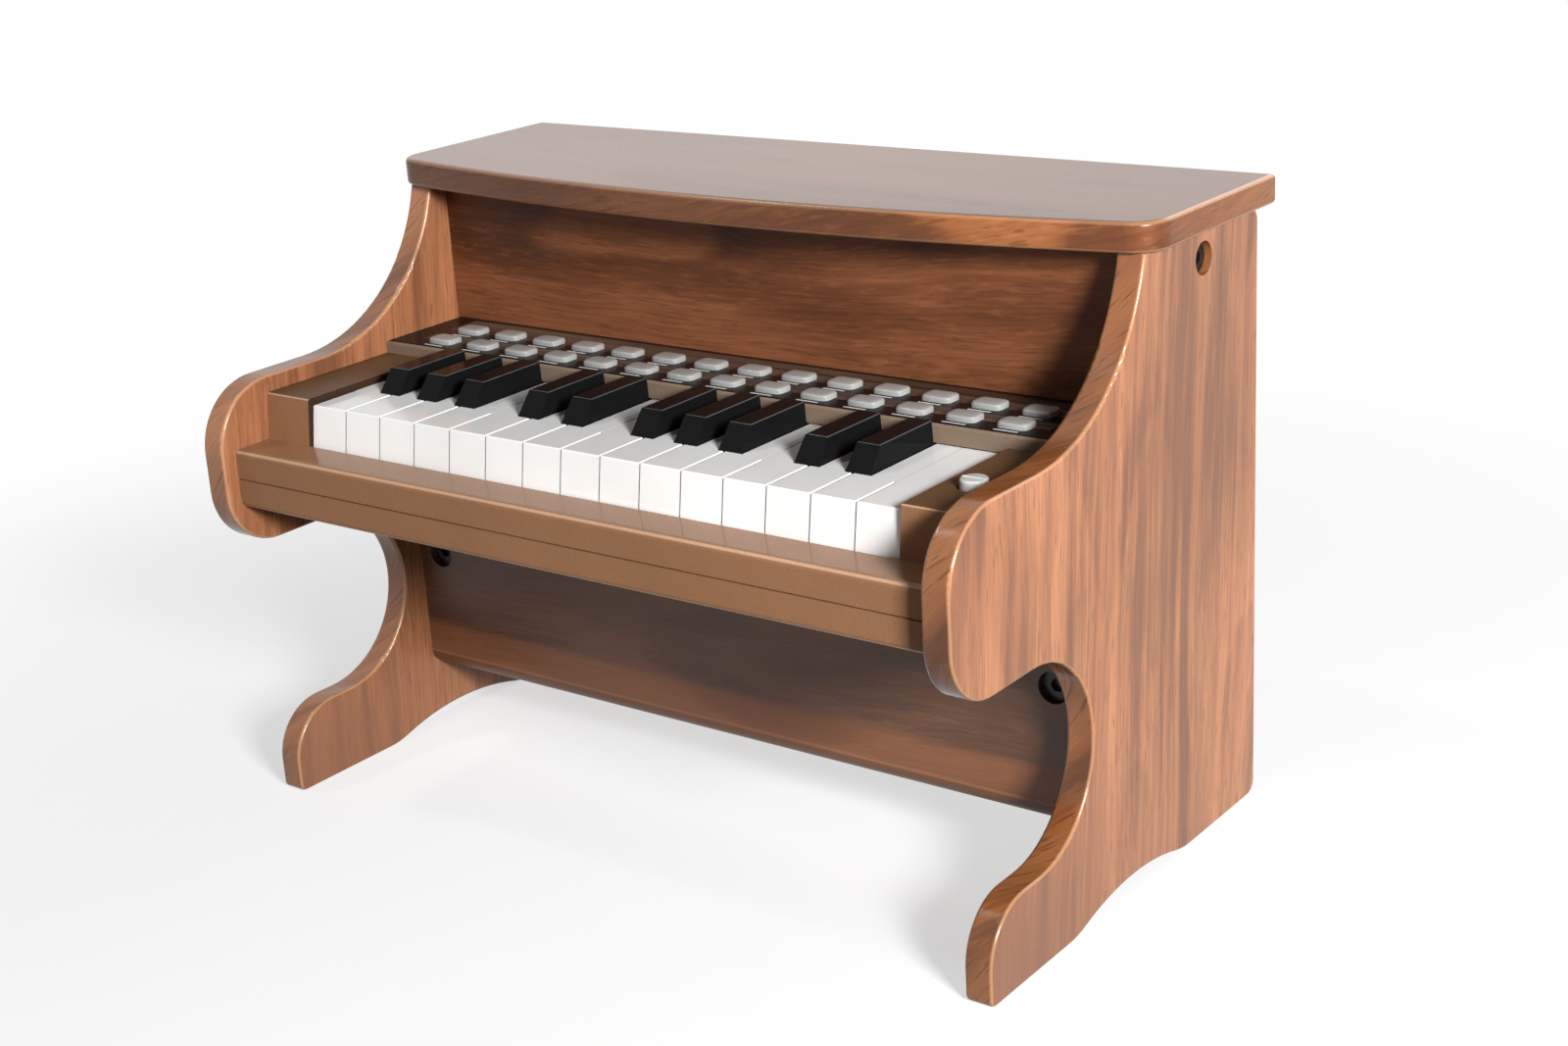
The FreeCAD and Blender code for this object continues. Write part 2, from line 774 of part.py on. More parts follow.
def volume_potentiometer():
    """The potentiometer that the knob's stem turns in."""
    half = pot_size / 2
    body = box(cheek_x - half, cheek_x + half, knob_y - half, knob_y + half, pot_bottom, pot_top)
    bush = bar(pot_bush_diameter, V(cheek_x, knob_y, pot_top), Z_DIR, pot_bush_height)
    bore_bottom = knob_stem_end - pot_bottom_gap
    bore = bar(knob_stem_diameter + 2 * knob_turning_gap, V(cheek_x, knob_y, bore_bottom), Z_DIR,
               pot_top + pot_bush_height - bore_bottom)
    return fuse([body, bush]).cut(bore)


# Tone buttons

def button_places():
    """Middle of every button, column by column with the front one first."""
    places = []
    for column in range(button_columns):
        x = (column - (button_columns - 1) / 2) * button_pitch
        places.append((x, front_row))
        places.append((x, back_row))
    return places


def button_opening(x, y):
    """The hole in deck and overlay that a button slides in."""
    return rounded_block(x, y, button_width + 2 * button_gap, button_length + 2 * button_gap,
                         button_corner + button_gap, deck_top - shell_wall, deck_top + overlay_thickness)


def button_cap(x, y):
    """One cap with rounded top edges, a flange that holds it under the deck and a stem."""
    cap = rounded_block(x, y, button_width, button_length, button_corner, flange_bottom, button_top)
    cap = rounded(cap, button_edge, lambda edge: lies_at(edge, "z", button_top))
    flange = box(x - button_width / 2 - button_flange, x + button_width / 2 + button_flange,
                 y - button_length / 2 - button_flange, y + button_length / 2 + button_flange,
                 flange_bottom, flange_top)
    stem = bar(button_stem_diameter, V(x, y, stem_bottom), Z_DIR, button_stem)
    return fuse([cap, flange, stem])


def button_overlay():
    """The thin printed sheet on the deck, with a hole for every button."""
    end = shell_half - overlay_margin
    sheet = box(-end, end, riser + overlay_margin, shell_back, deck_top, deck_top + overlay_thickness)
    return sheet.cut([button_opening(x, y) for x, y in button_places()])


# Keys

def white_step(white):
    """Place of a white key in its octave, counted from 1."""
    return (white - 1) % octave_whites + 1


def white_left(white):
    """Left edge of a white key's pitch."""
    return (white - 1 - white_count / 2) * key_pitch


def black_x(white):
    """Middle of the black key on the right of a white key."""
    return white_left(white + 1) + black_shifts[white_step(white)]


def black_whites():
    """White keys that have a black key on their right."""
    return [white for white in range(1, white_count) if white_step(white) in black_shifts]


def key_tail(x, front):
    """The narrow tail behind a key, out to the end past the hinge rod."""
    half = tail_width / 2
    return box(x - half, x + half, front, tail_end, tail_bottom, tail_top)


def hinge_bore(x, width):
    """The hole through a key's tail that runs on the hinge rod."""
    diameter = hinge_rod_diameter + 2 * hinge_running_gap
    return bar(diameter, V(x - width, pivot_y, pivot_z), X_DIR, 2 * width)


def key_hollows(x, half, front, back, bottom, ceiling):
    """Two rooms under a key, in front of and behind the rib that meets the contact strip."""
    rib = contact_strip_width / 2
    rooms = [box(x - half, x + half, contact_y + rib, back, bottom, ceiling)]
    rooms.append(box(x - half, x + half, front, contact_y - rib, bottom, ceiling))
    return rooms


def white_key(white):
    """A white key: a wide head, a neck between the black keys and a tail on the hinge rod."""
    left = white_left(white) + key_gap / 2
    right = white_left(white + 1) - key_gap / 2
    neck_left = left
    neck_right = right
    if white - 1 in black_whites():
        neck_left = black_x(white - 1) + black_width / 2 + black_gap
    if white in black_whites():
        neck_right = black_x(white) - black_width / 2 - black_gap
    middle = (neck_left + neck_right) / 2
    front_top = key_front + white_lean
    section = [(head_back, key_bottom), (head_back, key_top), (front_top, key_top), (key_front, key_bottom)]
    head = profile(section, left, right)

    def top_rim(edge):
        return lies_at(edge, "z", key_top) and not lies_at(edge, "y", head_back)

    head = rounded(head, white_round, top_rim)
    neck = box(neck_left, neck_right, head_back - white_wall, neck_back, key_bottom, key_top)
    tail = key_tail(middle, neck_back - white_wall)
    key = fuse([head, neck, tail])
    ceiling = key_top - white_wall
    half = (neck_right - neck_left) / 2 - white_wall
    rooms = key_hollows(middle, half, head_back - white_wall, neck_back - white_wall, key_bottom, ceiling)
    rooms.append(box(left + white_wall, right - white_wall, front_top + white_wall, head_back - white_wall,
                     key_bottom, ceiling))
    return key.cut(rooms + [hinge_bore(middle, tail_width)])


def black_key(white):
    """A black key: a tapered body with a sloping front, and a tail on the hinge rod."""
    x = black_x(white)
    base = black_width / 2
    top = black_top_width / 2
    corners = [(-base, black_bottom), (-base, key_top), (-top, black_top), (top, black_top), (base, key_top),
               (base, black_bottom), (-base, black_bottom)]
    section = Part.makePolygon([V(x + dx, black_front, z) for dx, z in corners])
    body = Part.Face(section).extrude(V(0, black_back - black_front, 0))
    slope = [(black_front, key_top), (black_front + black_slant, black_top), (black_front, black_top)]
    body = body.cut(profile(slope, x - black_width, x + black_width))

    def top_rim(edge):
        return lies_at(edge, "z", black_top) and not lies_at(edge, "y", black_back)

    body = rounded(body, black_round, top_rim)
    tail = key_tail(x, black_back - black_wall)
    key = fuse([body, tail])
    half = black_width / 2 - black_wall
    rooms = key_hollows(x, half, black_front + black_wall, black_back - black_wall, black_bottom, key_top)
    return key.cut(rooms + [hinge_bore(x, tail_width)])


def write(name, solids):
    """Write one node from a solid or a list of solids."""
    shape = Part.makeCompound(solids) if isinstance(solids, list) else solids
    shape.exportStep("parts/" + name + ".step")
    print(name, len(shape.Solids), round(shape.Volume, 1), shape.isValid())


def main():
    os.makedirs("parts", exist_ok=True)
    fastener_cuts = bolt_cuts() + screw_cuts()
    write("left_side_panel", side_panel(-1, fastener_cuts))
    write("right_side_panel", side_panel(1, fastener_cuts))
    write("top_lid", top_lid(fastener_cuts))
    write("upper_front_panel", upper_front_panel(fastener_cuts))
    write("knee_panel", knee_panel(fastener_cuts))
    write("lid_batten", lid_batten(fastener_cuts))
    write("corner_battens", corner_battens(fastener_cuts))
    write("cabinet_bolts", cabinet_bolts())
    write("threaded_inserts", threaded_inserts())
    write("panhead_screws", panhead_screws())
    write("keyboard_upper_shell", upper_shell(fastener_cuts))
    write("keyboard_lower_shell", lower_shell(fastener_cuts))
    write("battery_door", battery_door(fastener_cuts))
    write("button_overlay", button_overlay())
    write("key_hinge_rod", key_hinge_rod())
    write("key_contact_strip", key_contact_strip())
    write("main_circuit_board", main_circuit_board())
    write("button_circuit_board", button_circuit_board())
    write("loudspeaker", loudspeaker())
    write("volume_knob", volume_knob())
    write("volume_potentiometer", volume_potentiometer())
    caps = [button_cap(x, y) for x, y in button_places()]
    for column in range(button_columns):
        write(f"button_pair_{column + 1:02d}", caps[2 * column:2 * column + 2])
    for white in range(1, white_count + 1):
        write(f"white_key_{white:02d}", white_key(white))
    for number, white in enumerate(black_whites(), 1):
        write(f"black_key_{number:02d}", black_key(white))


main()
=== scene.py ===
# %% [markdown]
# # A toy piano
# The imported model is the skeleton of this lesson: every board, key and bolt is already there at its real
# size. We load it first and keep its box, so that at the end we can show that the dressed piano has not
# grown.

# %% Load the model
import math
import bmesh
import bpy
from mathutils import Matrix, Vector


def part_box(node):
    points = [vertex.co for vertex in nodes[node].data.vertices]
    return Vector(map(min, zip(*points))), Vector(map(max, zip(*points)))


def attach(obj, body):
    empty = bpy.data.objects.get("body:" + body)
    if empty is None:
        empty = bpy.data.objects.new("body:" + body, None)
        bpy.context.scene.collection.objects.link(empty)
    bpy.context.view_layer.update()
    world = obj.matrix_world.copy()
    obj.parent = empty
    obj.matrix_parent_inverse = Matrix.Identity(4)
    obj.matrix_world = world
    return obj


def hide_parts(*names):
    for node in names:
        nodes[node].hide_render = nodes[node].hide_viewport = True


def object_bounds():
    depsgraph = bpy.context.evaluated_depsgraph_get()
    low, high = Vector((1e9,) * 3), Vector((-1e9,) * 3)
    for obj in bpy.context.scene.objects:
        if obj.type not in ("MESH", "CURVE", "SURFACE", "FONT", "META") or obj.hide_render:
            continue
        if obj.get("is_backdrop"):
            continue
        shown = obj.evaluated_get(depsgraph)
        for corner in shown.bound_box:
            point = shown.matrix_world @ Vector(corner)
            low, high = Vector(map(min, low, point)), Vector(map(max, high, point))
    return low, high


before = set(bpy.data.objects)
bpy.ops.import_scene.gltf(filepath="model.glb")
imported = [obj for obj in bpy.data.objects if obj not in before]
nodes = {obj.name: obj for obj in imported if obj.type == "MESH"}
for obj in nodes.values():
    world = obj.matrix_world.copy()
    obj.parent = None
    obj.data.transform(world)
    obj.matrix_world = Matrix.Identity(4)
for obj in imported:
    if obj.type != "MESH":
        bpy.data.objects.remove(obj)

MM = 0.001
cad_low, cad_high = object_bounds()
scene = bpy.context.scene
scene.view_settings.view_transform = "Standard"
print("nodes:", len(nodes), "size in mm:", [round(side / MM, 1) for side in cad_high - cad_low])

# %% [markdown]
# ## The camera
# The piano is seen from its front right corner, a little from above. The camera is set by an azimuth from
# the front, an elevation and a small roll, all in radians, and a distance from a point in the middle of
# the case. Building the three axes of the camera ourselves keeps the roll exact, which a tracking
# constraint would not.

# %% Camera
VIEW_AZIMUTH = 0.659566
VIEW_ELEVATION = 0.331621
VIEW_ROLL = -0.061079
VIEW_DISTANCE = 1.036857
VIEW_TARGET = Vector((-0.0044, 0.04455, 0.110285))
FOCAL_LENGTH = 54.445
SENSOR_WIDTH = 36.0
SHIFT_ACROSS = 0.0004
SHIFT_UP = 0.0014


def outwards(azimuth, elevation):
    """The direction from the piano to a place at an azimuth from the front and an elevation."""
    flat = math.cos(elevation)
    return Vector((math.sin(azimuth) * flat, -math.cos(azimuth) * flat, math.sin(elevation)))


back = outwards(VIEW_AZIMUTH, VIEW_ELEVATION)
level = Vector((math.cos(VIEW_AZIMUTH), math.sin(VIEW_AZIMUTH), 0.0))
upright = back.cross(level)
right = math.cos(VIEW_ROLL) * level + math.sin(VIEW_ROLL) * upright
up = math.cos(VIEW_ROLL) * upright - math.sin(VIEW_ROLL) * level
place = VIEW_TARGET + VIEW_DISTANCE * back

lens = bpy.data.cameras.new("camera")
lens.lens = FOCAL_LENGTH
lens.sensor_width = SENSOR_WIDTH
lens.shift_x = SHIFT_ACROSS
lens.shift_y = SHIFT_UP
camera = bpy.data.objects.new("camera", lens)
scene.collection.objects.link(camera)
camera.matrix_world = Matrix((
    (right.x, up.x, back.x, place.x),
    (right.y, up.y, back.y, place.y),
    (right.z, up.z, back.z, place.z),
    (0.0, 0.0, 0.0, 1.0)))
scene.camera = camera
print("camera at", [round(coordinate, 3) for coordinate in place])

# %% [markdown]
# ## Studio lamps
# A product like this is photographed with a strong soft lamp at the front right, so that the right panel
# glows, the lid throws a soft shade on the upper panel and the keyboard shades the knees. Two small lamps
# on the left, one high and one low, put glints on the rounded edges. A broad one behind keeps the back
# readable. It stands on the right there, because the lid would mirror a lamp on the left and lose its far
# corner in the white.

# %% Lamps
def soft_lamp(name, azimuth, elevation, distance, size, watts):
    """A square soft box at angles in degrees, aimed at the middle of the case."""
    lamp = bpy.data.lights.new(name, "AREA")
    lamp.shape = "SQUARE"
    lamp.size = size
    lamp.energy = watts
    lamp_object = bpy.data.objects.new(name, lamp)
    scene.collection.objects.link(lamp_object)
    direction = outwards(math.radians(azimuth), math.radians(elevation))
    aim = Vector((0, 0, (cad_low.z + cad_high.z) / 2))
    lamp_object.location = aim + distance * direction
    lamp_object.rotation_euler = (-direction).to_track_quat("-Z", "Y").to_euler()
    return lamp_object


lamps = [
    soft_lamp("key_light", azimuth=62, elevation=21, distance=1.7, size=0.34, watts=50),
    soft_lamp("fill_light", azimuth=-65, elevation=55, distance=1.6, size=0.13, watts=3.4),
    soft_lamp("glint_light", azimuth=-36, elevation=8, distance=1.6, size=0.2, watts=0.8),
    soft_lamp("back_light", azimuth=165, elevation=25, distance=1.7, size=1.2, watts=10)]
print("lamps:", len(lamps))

# %% [markdown]
# ## Nodes without tears
# A material or a world is a small graph of nodes. A few helpers keep the graphs readable: one links a
# socket or writes a constant on it, one adds a node with its values, and the others are the nodes that we
# need most.

# %% Node helpers
def feed(tree, socket, value):
    """Link another node's output to this socket, or write a constant on it."""
    if isinstance(value, bpy.types.NodeSocket):
        tree.links.new(value, socket)
    else:
        socket.default_value = value


def add_node(tree, kind, values=None, **settings):
    """A shader node with its settings, its sockets fed by name or number."""
    made = tree.nodes.new("ShaderNode" + kind)
    for name, setting in settings.items():
        setattr(made, name, setting)
    for socket, value in (values or {}).items():
        feed(tree, made.inputs[socket], value)
    return made


def calculate(tree, operation, *values):
    """A Math node on one, two or three values."""
    return add_node(tree, "Math", dict(enumerate(values)), operation=operation).outputs[0]


def combine(tree, operation, *vectors):
    """A Vector Math node that gives a vector, such as a sum."""
    return add_node(tree, "VectorMath", dict(enumerate(vectors)), operation=operation).outputs["Vector"]


def measure(tree, operation, *vectors):
    """A Vector Math node that gives a value, such as a length."""
    return add_node(tree, "VectorMath", dict(enumerate(vectors)), operation=operation).outputs["Value"]


def spread(tree, value, start, end, low=0.0, high=1.0):
    """Stretch the part of a value between start and end to low and high, eased at both ends."""
    values = {"Value": value, "From Min": start, "From Max": end, "To Min": low, "To Max": high}
    return add_node(tree, "MapRange", values, interpolation_type="SMOOTHSTEP").outputs[0]


def mix_values(tree, share, first, second):
    """Go from the first value to the second one by a share."""
    return add_node(tree, "Mix", {0: share, 2: first, 3: second}).outputs[0]


def mix_colours(tree, share, first, second, how="MIX"):
    """Lay the second colour over the first one by a share."""
    made = add_node(tree, "Mix", {0: share, 6: first, 7: second}, data_type="RGBA", blend_type=how)
    return made.outputs[2]


print("node helpers ready")

# %% [markdown]
# ## White surroundings
# The world is white for the eye and for reflections, and far dimmer as a source of light, so that shades
# stay deep. A Light Path node tells the two kinds of rays apart.

# %% White world
WHITE = (1, 1, 1, 1)
AMBIENT = 0.03


def looks(tree):
    """1 for rays from the eye, from a reflection or through glass, and 0 for rays that carry light."""
    path = add_node(tree, "LightPath").outputs
    looking = calculate(tree, "MAXIMUM", path["Is Camera Ray"], path["Is Glossy Ray"])
    return calculate(tree, "MAXIMUM", looking, path["Is Transmission Ray"])


world = bpy.data.worlds.new("studio")
scene.world = world
world.use_nodes = True
sky = world.node_tree
background = sky.nodes["Background"]
background.inputs["Color"].default_value = WHITE
feed(sky, background.inputs["Strength"], mix_values(sky, looks(sky), AMBIENT, 1.0))
print("world: white, with ambient light", AMBIENT)

# %% [markdown]
# ## Patterns and materials
# Nearly all patterns here are noise in the Object coordinates of a piece, stretched to so many cells to
# the metre, so a pattern stays on its piece when the piece moves. A new material starts with these
# coordinates at hand.

# %% Pattern and material helpers
def turned(tree, vector, scale=(1, 1, 1), degrees=(0, 0, 0), shift=(0, 0, 0)):
    """A pattern's own coordinates: turned, stretched and shifted."""
    rotation = [math.radians(angle) for angle in degrees]
    values = {"Vector": vector, "Scale": scale, "Rotation": rotation, "Location": shift}
    return add_node(tree, "Mapping", values).outputs[0]


def cloud(tree, vector, cycles, detail):
    """Noise with so many cells to the metre along each axis, or along all three."""
    if isinstance(cycles, (int, float)):
        cycles = (cycles, cycles, cycles)
    values = {"Vector": turned(tree, vector, cycles), "Scale": 1.0, "Detail": detail}
    return add_node(tree, "TexNoise", values).outputs["Fac"]


def new_material(name):
    """A new material: itself, its tree, its shader and the place of each point in the object."""
    material = bpy.data.materials.new(name)
    material.use_nodes = True
    tree = material.node_tree
    where = add_node(tree, "TexCoord").outputs["Object"]
    return material, tree, tree.nodes["Principled BSDF"], where


print("pattern helpers ready")

# %% [markdown]
# ## Paper floor
# The piano stands on white paper that keeps a faint shadow: more than half of what the eye sees of the
# paper is plain white, and the rest is lit paper. Farther out it turns all white, so that no horizon
# shows. To rays that carry light the paper is grey, so that it doesn't brighten the knees from below.

# %% Paper floor
FLOOR_SIZE = 30.0
PAPER_DULL = (0.93, 0.93, 0.93, 1)
PAPER_PALE = (0.96, 0.96, 0.96, 1)
PAPER_GREY = (0.22, 0.22, 0.22, 1)
PAPER_CLOUDS = (40, 3)
PAPER_ROUGHNESS = 0.9
PAPER_SPECULAR = 0.1
WHITENING = 0.6
FADE_START = 0.25
FADE_END = 0.8

bpy.ops.object.select_all(action="DESELECT")
bpy.ops.mesh.primitive_plane_add(size=FLOOR_SIZE, location=(0, 0, cad_low.z))
floor = bpy.context.object
floor.name = "floor"
floor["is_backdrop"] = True
paper, tree, shader, where = new_material("floor_paper")
looking = looks(tree)
pale = mix_colours(tree, cloud(tree, where, *PAPER_CLOUDS), PAPER_DULL, PAPER_PALE)
feed(tree, shader.inputs["Base Color"], mix_colours(tree, looking, PAPER_GREY, pale))
shader.inputs["Roughness"].default_value = PAPER_ROUGHNESS
shader.inputs["Specular IOR Level"].default_value = PAPER_SPECULAR
white = add_node(tree, "Emission", {"Color": WHITE, "Strength": 1.0})
reach = measure(tree, "LENGTH", where)
share = calculate(tree, "MULTIPLY", looking, spread(tree, reach, FADE_START, FADE_END, WHITENING, 1.0))
both = add_node(tree, "MixShader", {0: share, 1: shader.outputs[0], 2: white.outputs[0]})
feed(tree, tree.nodes["Material Output"].inputs["Surface"], both.outputs[0])
floor.data.materials.append(paper)
print("floor:", FLOOR_SIZE, "m of paper")

# %% [markdown]
# ## Walnut film
# The boards are wrapped in a printed walnut film. More than one board wears it, each with its own tones,
# so the film is a node group. Its first input is a vector whose X axis is the grain. Grain is never quite
# straight, so a slow noise first pushes that vector a little sideways.

# %% Walnut group and its wandering grain
WANDER_CYCLES = (4, 14, 14)
NOISE_MIDDLE = 0.5
ACROSS_GRAIN = (0, 1, 1)


def new_group(name, inputs, outputs):
    """An empty shader group with named sockets: its tree, what it is given and what it results in."""
    tree = bpy.data.node_groups.new(name, "ShaderNodeTree")
    for label, kind in inputs:
        tree.interface.new_socket(label, in_out="INPUT", socket_type="NodeSocket" + kind)
    for label, kind in outputs:
        tree.interface.new_socket(label, in_out="OUTPUT", socket_type="NodeSocket" + kind)
    return tree, tree.nodes.new("NodeGroupInput").outputs, tree.nodes.new("NodeGroupOutput").inputs


walnut, given, result = new_group(
    "walnut_figure",
    [("Vector", "Vector"), ("Light", "Color"), ("Middle", "Color"), ("Dark", "Color"), ("Flame", "Float"),
     ("Lines", "Float"), ("Streaks", "Float"), ("Fibres", "Float"), ("Pores", "Float"), ("Wander", "Float")],
    [("Colour", "Color"), ("Roughness", "Float"), ("Height", "Float")])
sway = add_node(walnut, "TexNoise", {"Vector": turned(walnut, given["Vector"], WANDER_CYCLES), "Scale": 1.0})
sway = combine(walnut, "SUBTRACT", sway.outputs["Color"], (NOISE_MIDDLE, NOISE_MIDDLE, NOISE_MIDDLE))
sway = combine(walnut, "MULTIPLY", sway, ACROSS_GRAIN)
sway = add_node(walnut, "VectorMath", {0: sway, "Scale": given["Wander"]}, operation="SCALE")
grain = combine(walnut, "ADD", given["Vector"], sway.outputs["Vector"])
print("walnut group:", len(walnut.interface.items_tree), "sockets")

# %% [markdown]
# Walnut shows broad bands along the grain, thinner lines, and flames where the saw met the rings at a
# slant. All of these are noise stretched along the grain. The flames are the contours of a smooth noise,
# which close in on themselves like rings in a plank: each fades in slowly and ends crisply. Their sum is
# the tone of the wood.

# %% Walnut tone
# Cells to the metre along and across the grain, and the detail, of each pattern.
BANDS = (3.5, 17, 3.0)
LINES = (3.2, 135, 4.0)
FLAMES = (3.4, 15, 1.0)
FLECKS = (90, 620, 2.0)
RINGS = 4.5
RING_FADES_IN = (0.0, 0.8)
RING_ENDS = (0.86, 1.0)
FLECK_LIMITS = (0.5, 0.72)
BAND_WEIGHT = 0.8
FLAME_WEIGHT = 0.12
FLECK_WEIGHT = 0.08


def strands(tree, vector, along, across, detail):
    """Noise with so many cells to the metre along the grain and across it."""
    return cloud(tree, vector, (along, across, across), detail)


bands = calculate(walnut, "SUBTRACT", strands(walnut, grain, *BANDS), NOISE_MIDDLE)
lines = calculate(walnut, "SUBTRACT", strands(walnut, grain, *LINES), NOISE_MIDDLE)
ring = calculate(walnut, "FRACT", calculate(walnut, "MULTIPLY", strands(walnut, grain, *FLAMES), RINGS))
fading = spread(walnut, ring, *RING_FADES_IN, -1, 1)
ending = spread(walnut, ring, *RING_ENDS, 1, -1)
flame = calculate(walnut, "MULTIPLY", calculate(walnut, "MINIMUM", fading, ending), given["Flame"])
flecks = spread(walnut, strands(walnut, grain, *FLECKS), *FLECK_LIMITS)
flecks = calculate(walnut, "MULTIPLY", flecks, given["Flame"])
tone = calculate(walnut, "MULTIPLY_ADD", bands, BAND_WEIGHT, NOISE_MIDDLE)
tone = calculate(walnut, "MULTIPLY_ADD", lines, given["Lines"], tone)
tone = calculate(walnut, "MULTIPLY_ADD", flame, FLAME_WEIGHT, tone)
tone = calculate(walnut, "MULTIPLY_ADD", flecks, FLECK_WEIGHT, tone)
print("walnut group with its tone:", len(walnut.nodes), "nodes")

# %% [markdown]
# The tone picks between three colours. Thin dark streaks, fine fibres and short open pores come on top,
# and fibres and pores also give the film its roughness and its relief.

# %% Walnut colour, roughness and relief
FIBRES = (24, 760, 2.0)
STREAKS = (1.5, 170, 1.0)
PORES = (70, 1000, 1.0)
STREAK_LIMITS = (0.62, 0.72)
PORE_LIMITS = (0.60, 0.70)
DARK_TO_MIDDLE = (0.30, 0.52)
MIDDLE_TO_LIGHT = (0.48, 0.70)
FIBRE_LIMITS = (0.25, 0.75)
FIBRE_SHADES = (0.79, 1.14)
PORE_SHARE = 0.7
SHEEN_LIMITS = (0.2, 0.8)
FILM_ROUGHNESS = (0.22, 0.32)

fibres = strands(walnut, grain, *FIBRES)
streaks = spread(walnut, strands(walnut, grain, *STREAKS), *STREAK_LIMITS)
streaks = calculate(walnut, "MULTIPLY", streaks, given["Streaks"])
pores = spread(walnut, strands(walnut, grain, *PORES), *PORE_LIMITS)
pores = calculate(walnut, "MULTIPLY", pores, given["Pores"])
colour = mix_colours(walnut, spread(walnut, tone, *DARK_TO_MIDDLE), given["Dark"], given["Middle"])
colour = mix_colours(walnut, spread(walnut, tone, *MIDDLE_TO_LIGHT), colour, given["Light"])
colour = mix_colours(walnut, streaks, colour, given["Dark"])
shading = spread(walnut, fibres, *FIBRE_LIMITS, *FIBRE_SHADES)
colour = mix_colours(walnut, given["Fibres"], colour, shading, "MULTIPLY")
colour = mix_colours(walnut, calculate(walnut, "MULTIPLY", pores, PORE_SHARE), colour, given["Dark"])
feed(walnut, result["Colour"], colour)
feed(walnut, result["Roughness"], spread(walnut, fibres, *SHEEN_LIMITS, *FILM_ROUGHNESS))
feed(walnut, result["Height"], calculate(walnut, "SUBTRACT", fibres, pores))
print("walnut group:", len(walnut.nodes), "nodes")

# %% [markdown]
# ## Wrapping a board
# A board's edges were wrapped separately from its faces, so a board has two films: one for its faces and one
# that runs along its edge, with the grain at a slant. The normal tells a face from an edge. On the rounded
# corner between them a pale line is painted: a painted highlight, where the corner catches the light.

# %% Film helpers
def tones(light, middle, dark):
    """The three colours of a walnut film."""
    return {"Light": (*light, 1), "Middle": (*middle, 1), "Dark": (*dark, 1)}


def place_group(tree, group, values):
    """A group in a material, with this material's own values."""
    made = tree.nodes.new("ShaderNodeGroup")
    made.node_tree = group
    for socket, value in values.items():
        feed(tree, made.inputs[socket], value)
    return made.outputs


def along_edge(tree, where, along, across, slant):
    """Coordinates of a film that runs along one direction and lies across another, its grain at a slant."""
    turn = math.radians(slant)
    along, across = Vector(along), Vector(across)
    length = measure(tree, "DOT_PRODUCT", where, math.cos(turn) * along + math.sin(turn) * across)
    width = measure(tree, "DOT_PRODUCT", where, math.cos(turn) * across - math.sin(turn) * along)
    return add_node(tree, "CombineXYZ", {0: length, 1: width}).outputs[0]


print("film helpers ready")

# %% [markdown]
# Wrapping a board mixes the colour, the roughness and the relief of its two films by the normal. A film's
# relief is only hundredths of a millimetre, so a bump is enough.

# %% Wrapping helpers
SIDEWAYS = (1, 0, 0)
UPWARDS = (0, 0, 1)
FACE_LIMITS = (0.6, 0.85)
BEND_STARTS = (0.2, 0.45)
BEND_ENDS = (0.8, 0.95)
BEND_HIGHLIGHT_COLOUR = (0.56, 0.32, 0.17, 1)
FILM_RELIEF = 0.03 * MM
FILM_STRENGTH = 0.5


def facing(tree, axis):
    """How squarely the surface faces along an axis, from 0 to 1."""
    normal = add_node(tree, "NewGeometry").outputs["Normal"]
    return calculate(tree, "ABSOLUTE", measure(tree, "DOT_PRODUCT", normal, axis))


def film_sheen(tree, film, smooth, dull):
    """A film's roughness, stretched to another range."""
    return spread(tree, film["Roughness"], *FILM_ROUGHNESS, smooth, dull)


def raise_grain(tree, shader, height, depth, strength=1.0):
    """Feed a height to the shader's normal through a bump of that depth."""
    bump = add_node(tree, "Bump", {"Height": height, "Distance": depth, "Strength": strength})
    feed(tree, shader.inputs["Normal"], bump.outputs["Normal"])


def wrap(tree, shader, face, edge, axis, pale):
    """Put a face film and an edge film on one board, with a painted highlight as a pale line on the rounded
    corner.
    """
    squareness = facing(tree, axis)
    on_face = spread(tree, squareness, *FACE_LIMITS)
    # The pale line on the rounded corner is a painted highlight.
    rise = spread(tree, squareness, *BEND_STARTS, 0.0, pale)
    bend_highlight = calculate(tree, "MULTIPLY", rise, spread(tree, squareness, *BEND_ENDS, 1.0, 0.0))
    film = mix_colours(tree, on_face, edge["Colour"], face["Colour"])
    feed(tree, shader.inputs["Base Color"], mix_colours(tree, bend_highlight, film, BEND_HIGHLIGHT_COLOUR))
    feed(tree, shader.inputs["Roughness"], mix_values(tree, on_face, edge["Roughness"], face["Roughness"]))
    height = mix_values(tree, on_face, edge["Height"], face["Height"])
    raise_grain(tree, shader, height, FILM_RELIEF, FILM_STRENGTH)
    return on_face


def dress(node, material):
    """Give a CAD piece its finish."""
    for slot in nodes[node].material_slots:
        slot.material = material


print("wrapping helpers ready")

# %% [markdown]
# ## Film on the side panels
# On the big faces the grain stands upright and leans a little, and a few spots darken it: the two at the
# foot and at the arm are painted shade, where the key lamp's light falls off, and the others darken the film
# in patches. The film of the front edge follows the curve, with the grain at a steep slant across it. A sum
# of height and depth grows steadily all the way along that edge, so it stands in for the length of the film.

# %% Side panels
FACE_TONES = tones((0.43, 0.180, 0.081), (0.335, 0.134, 0.058), (0.185, 0.073, 0.036))
EDGE_TONES = tones((0.285, 0.107, 0.038), (0.222, 0.076, 0.025), (0.098, 0.031, 0.011))
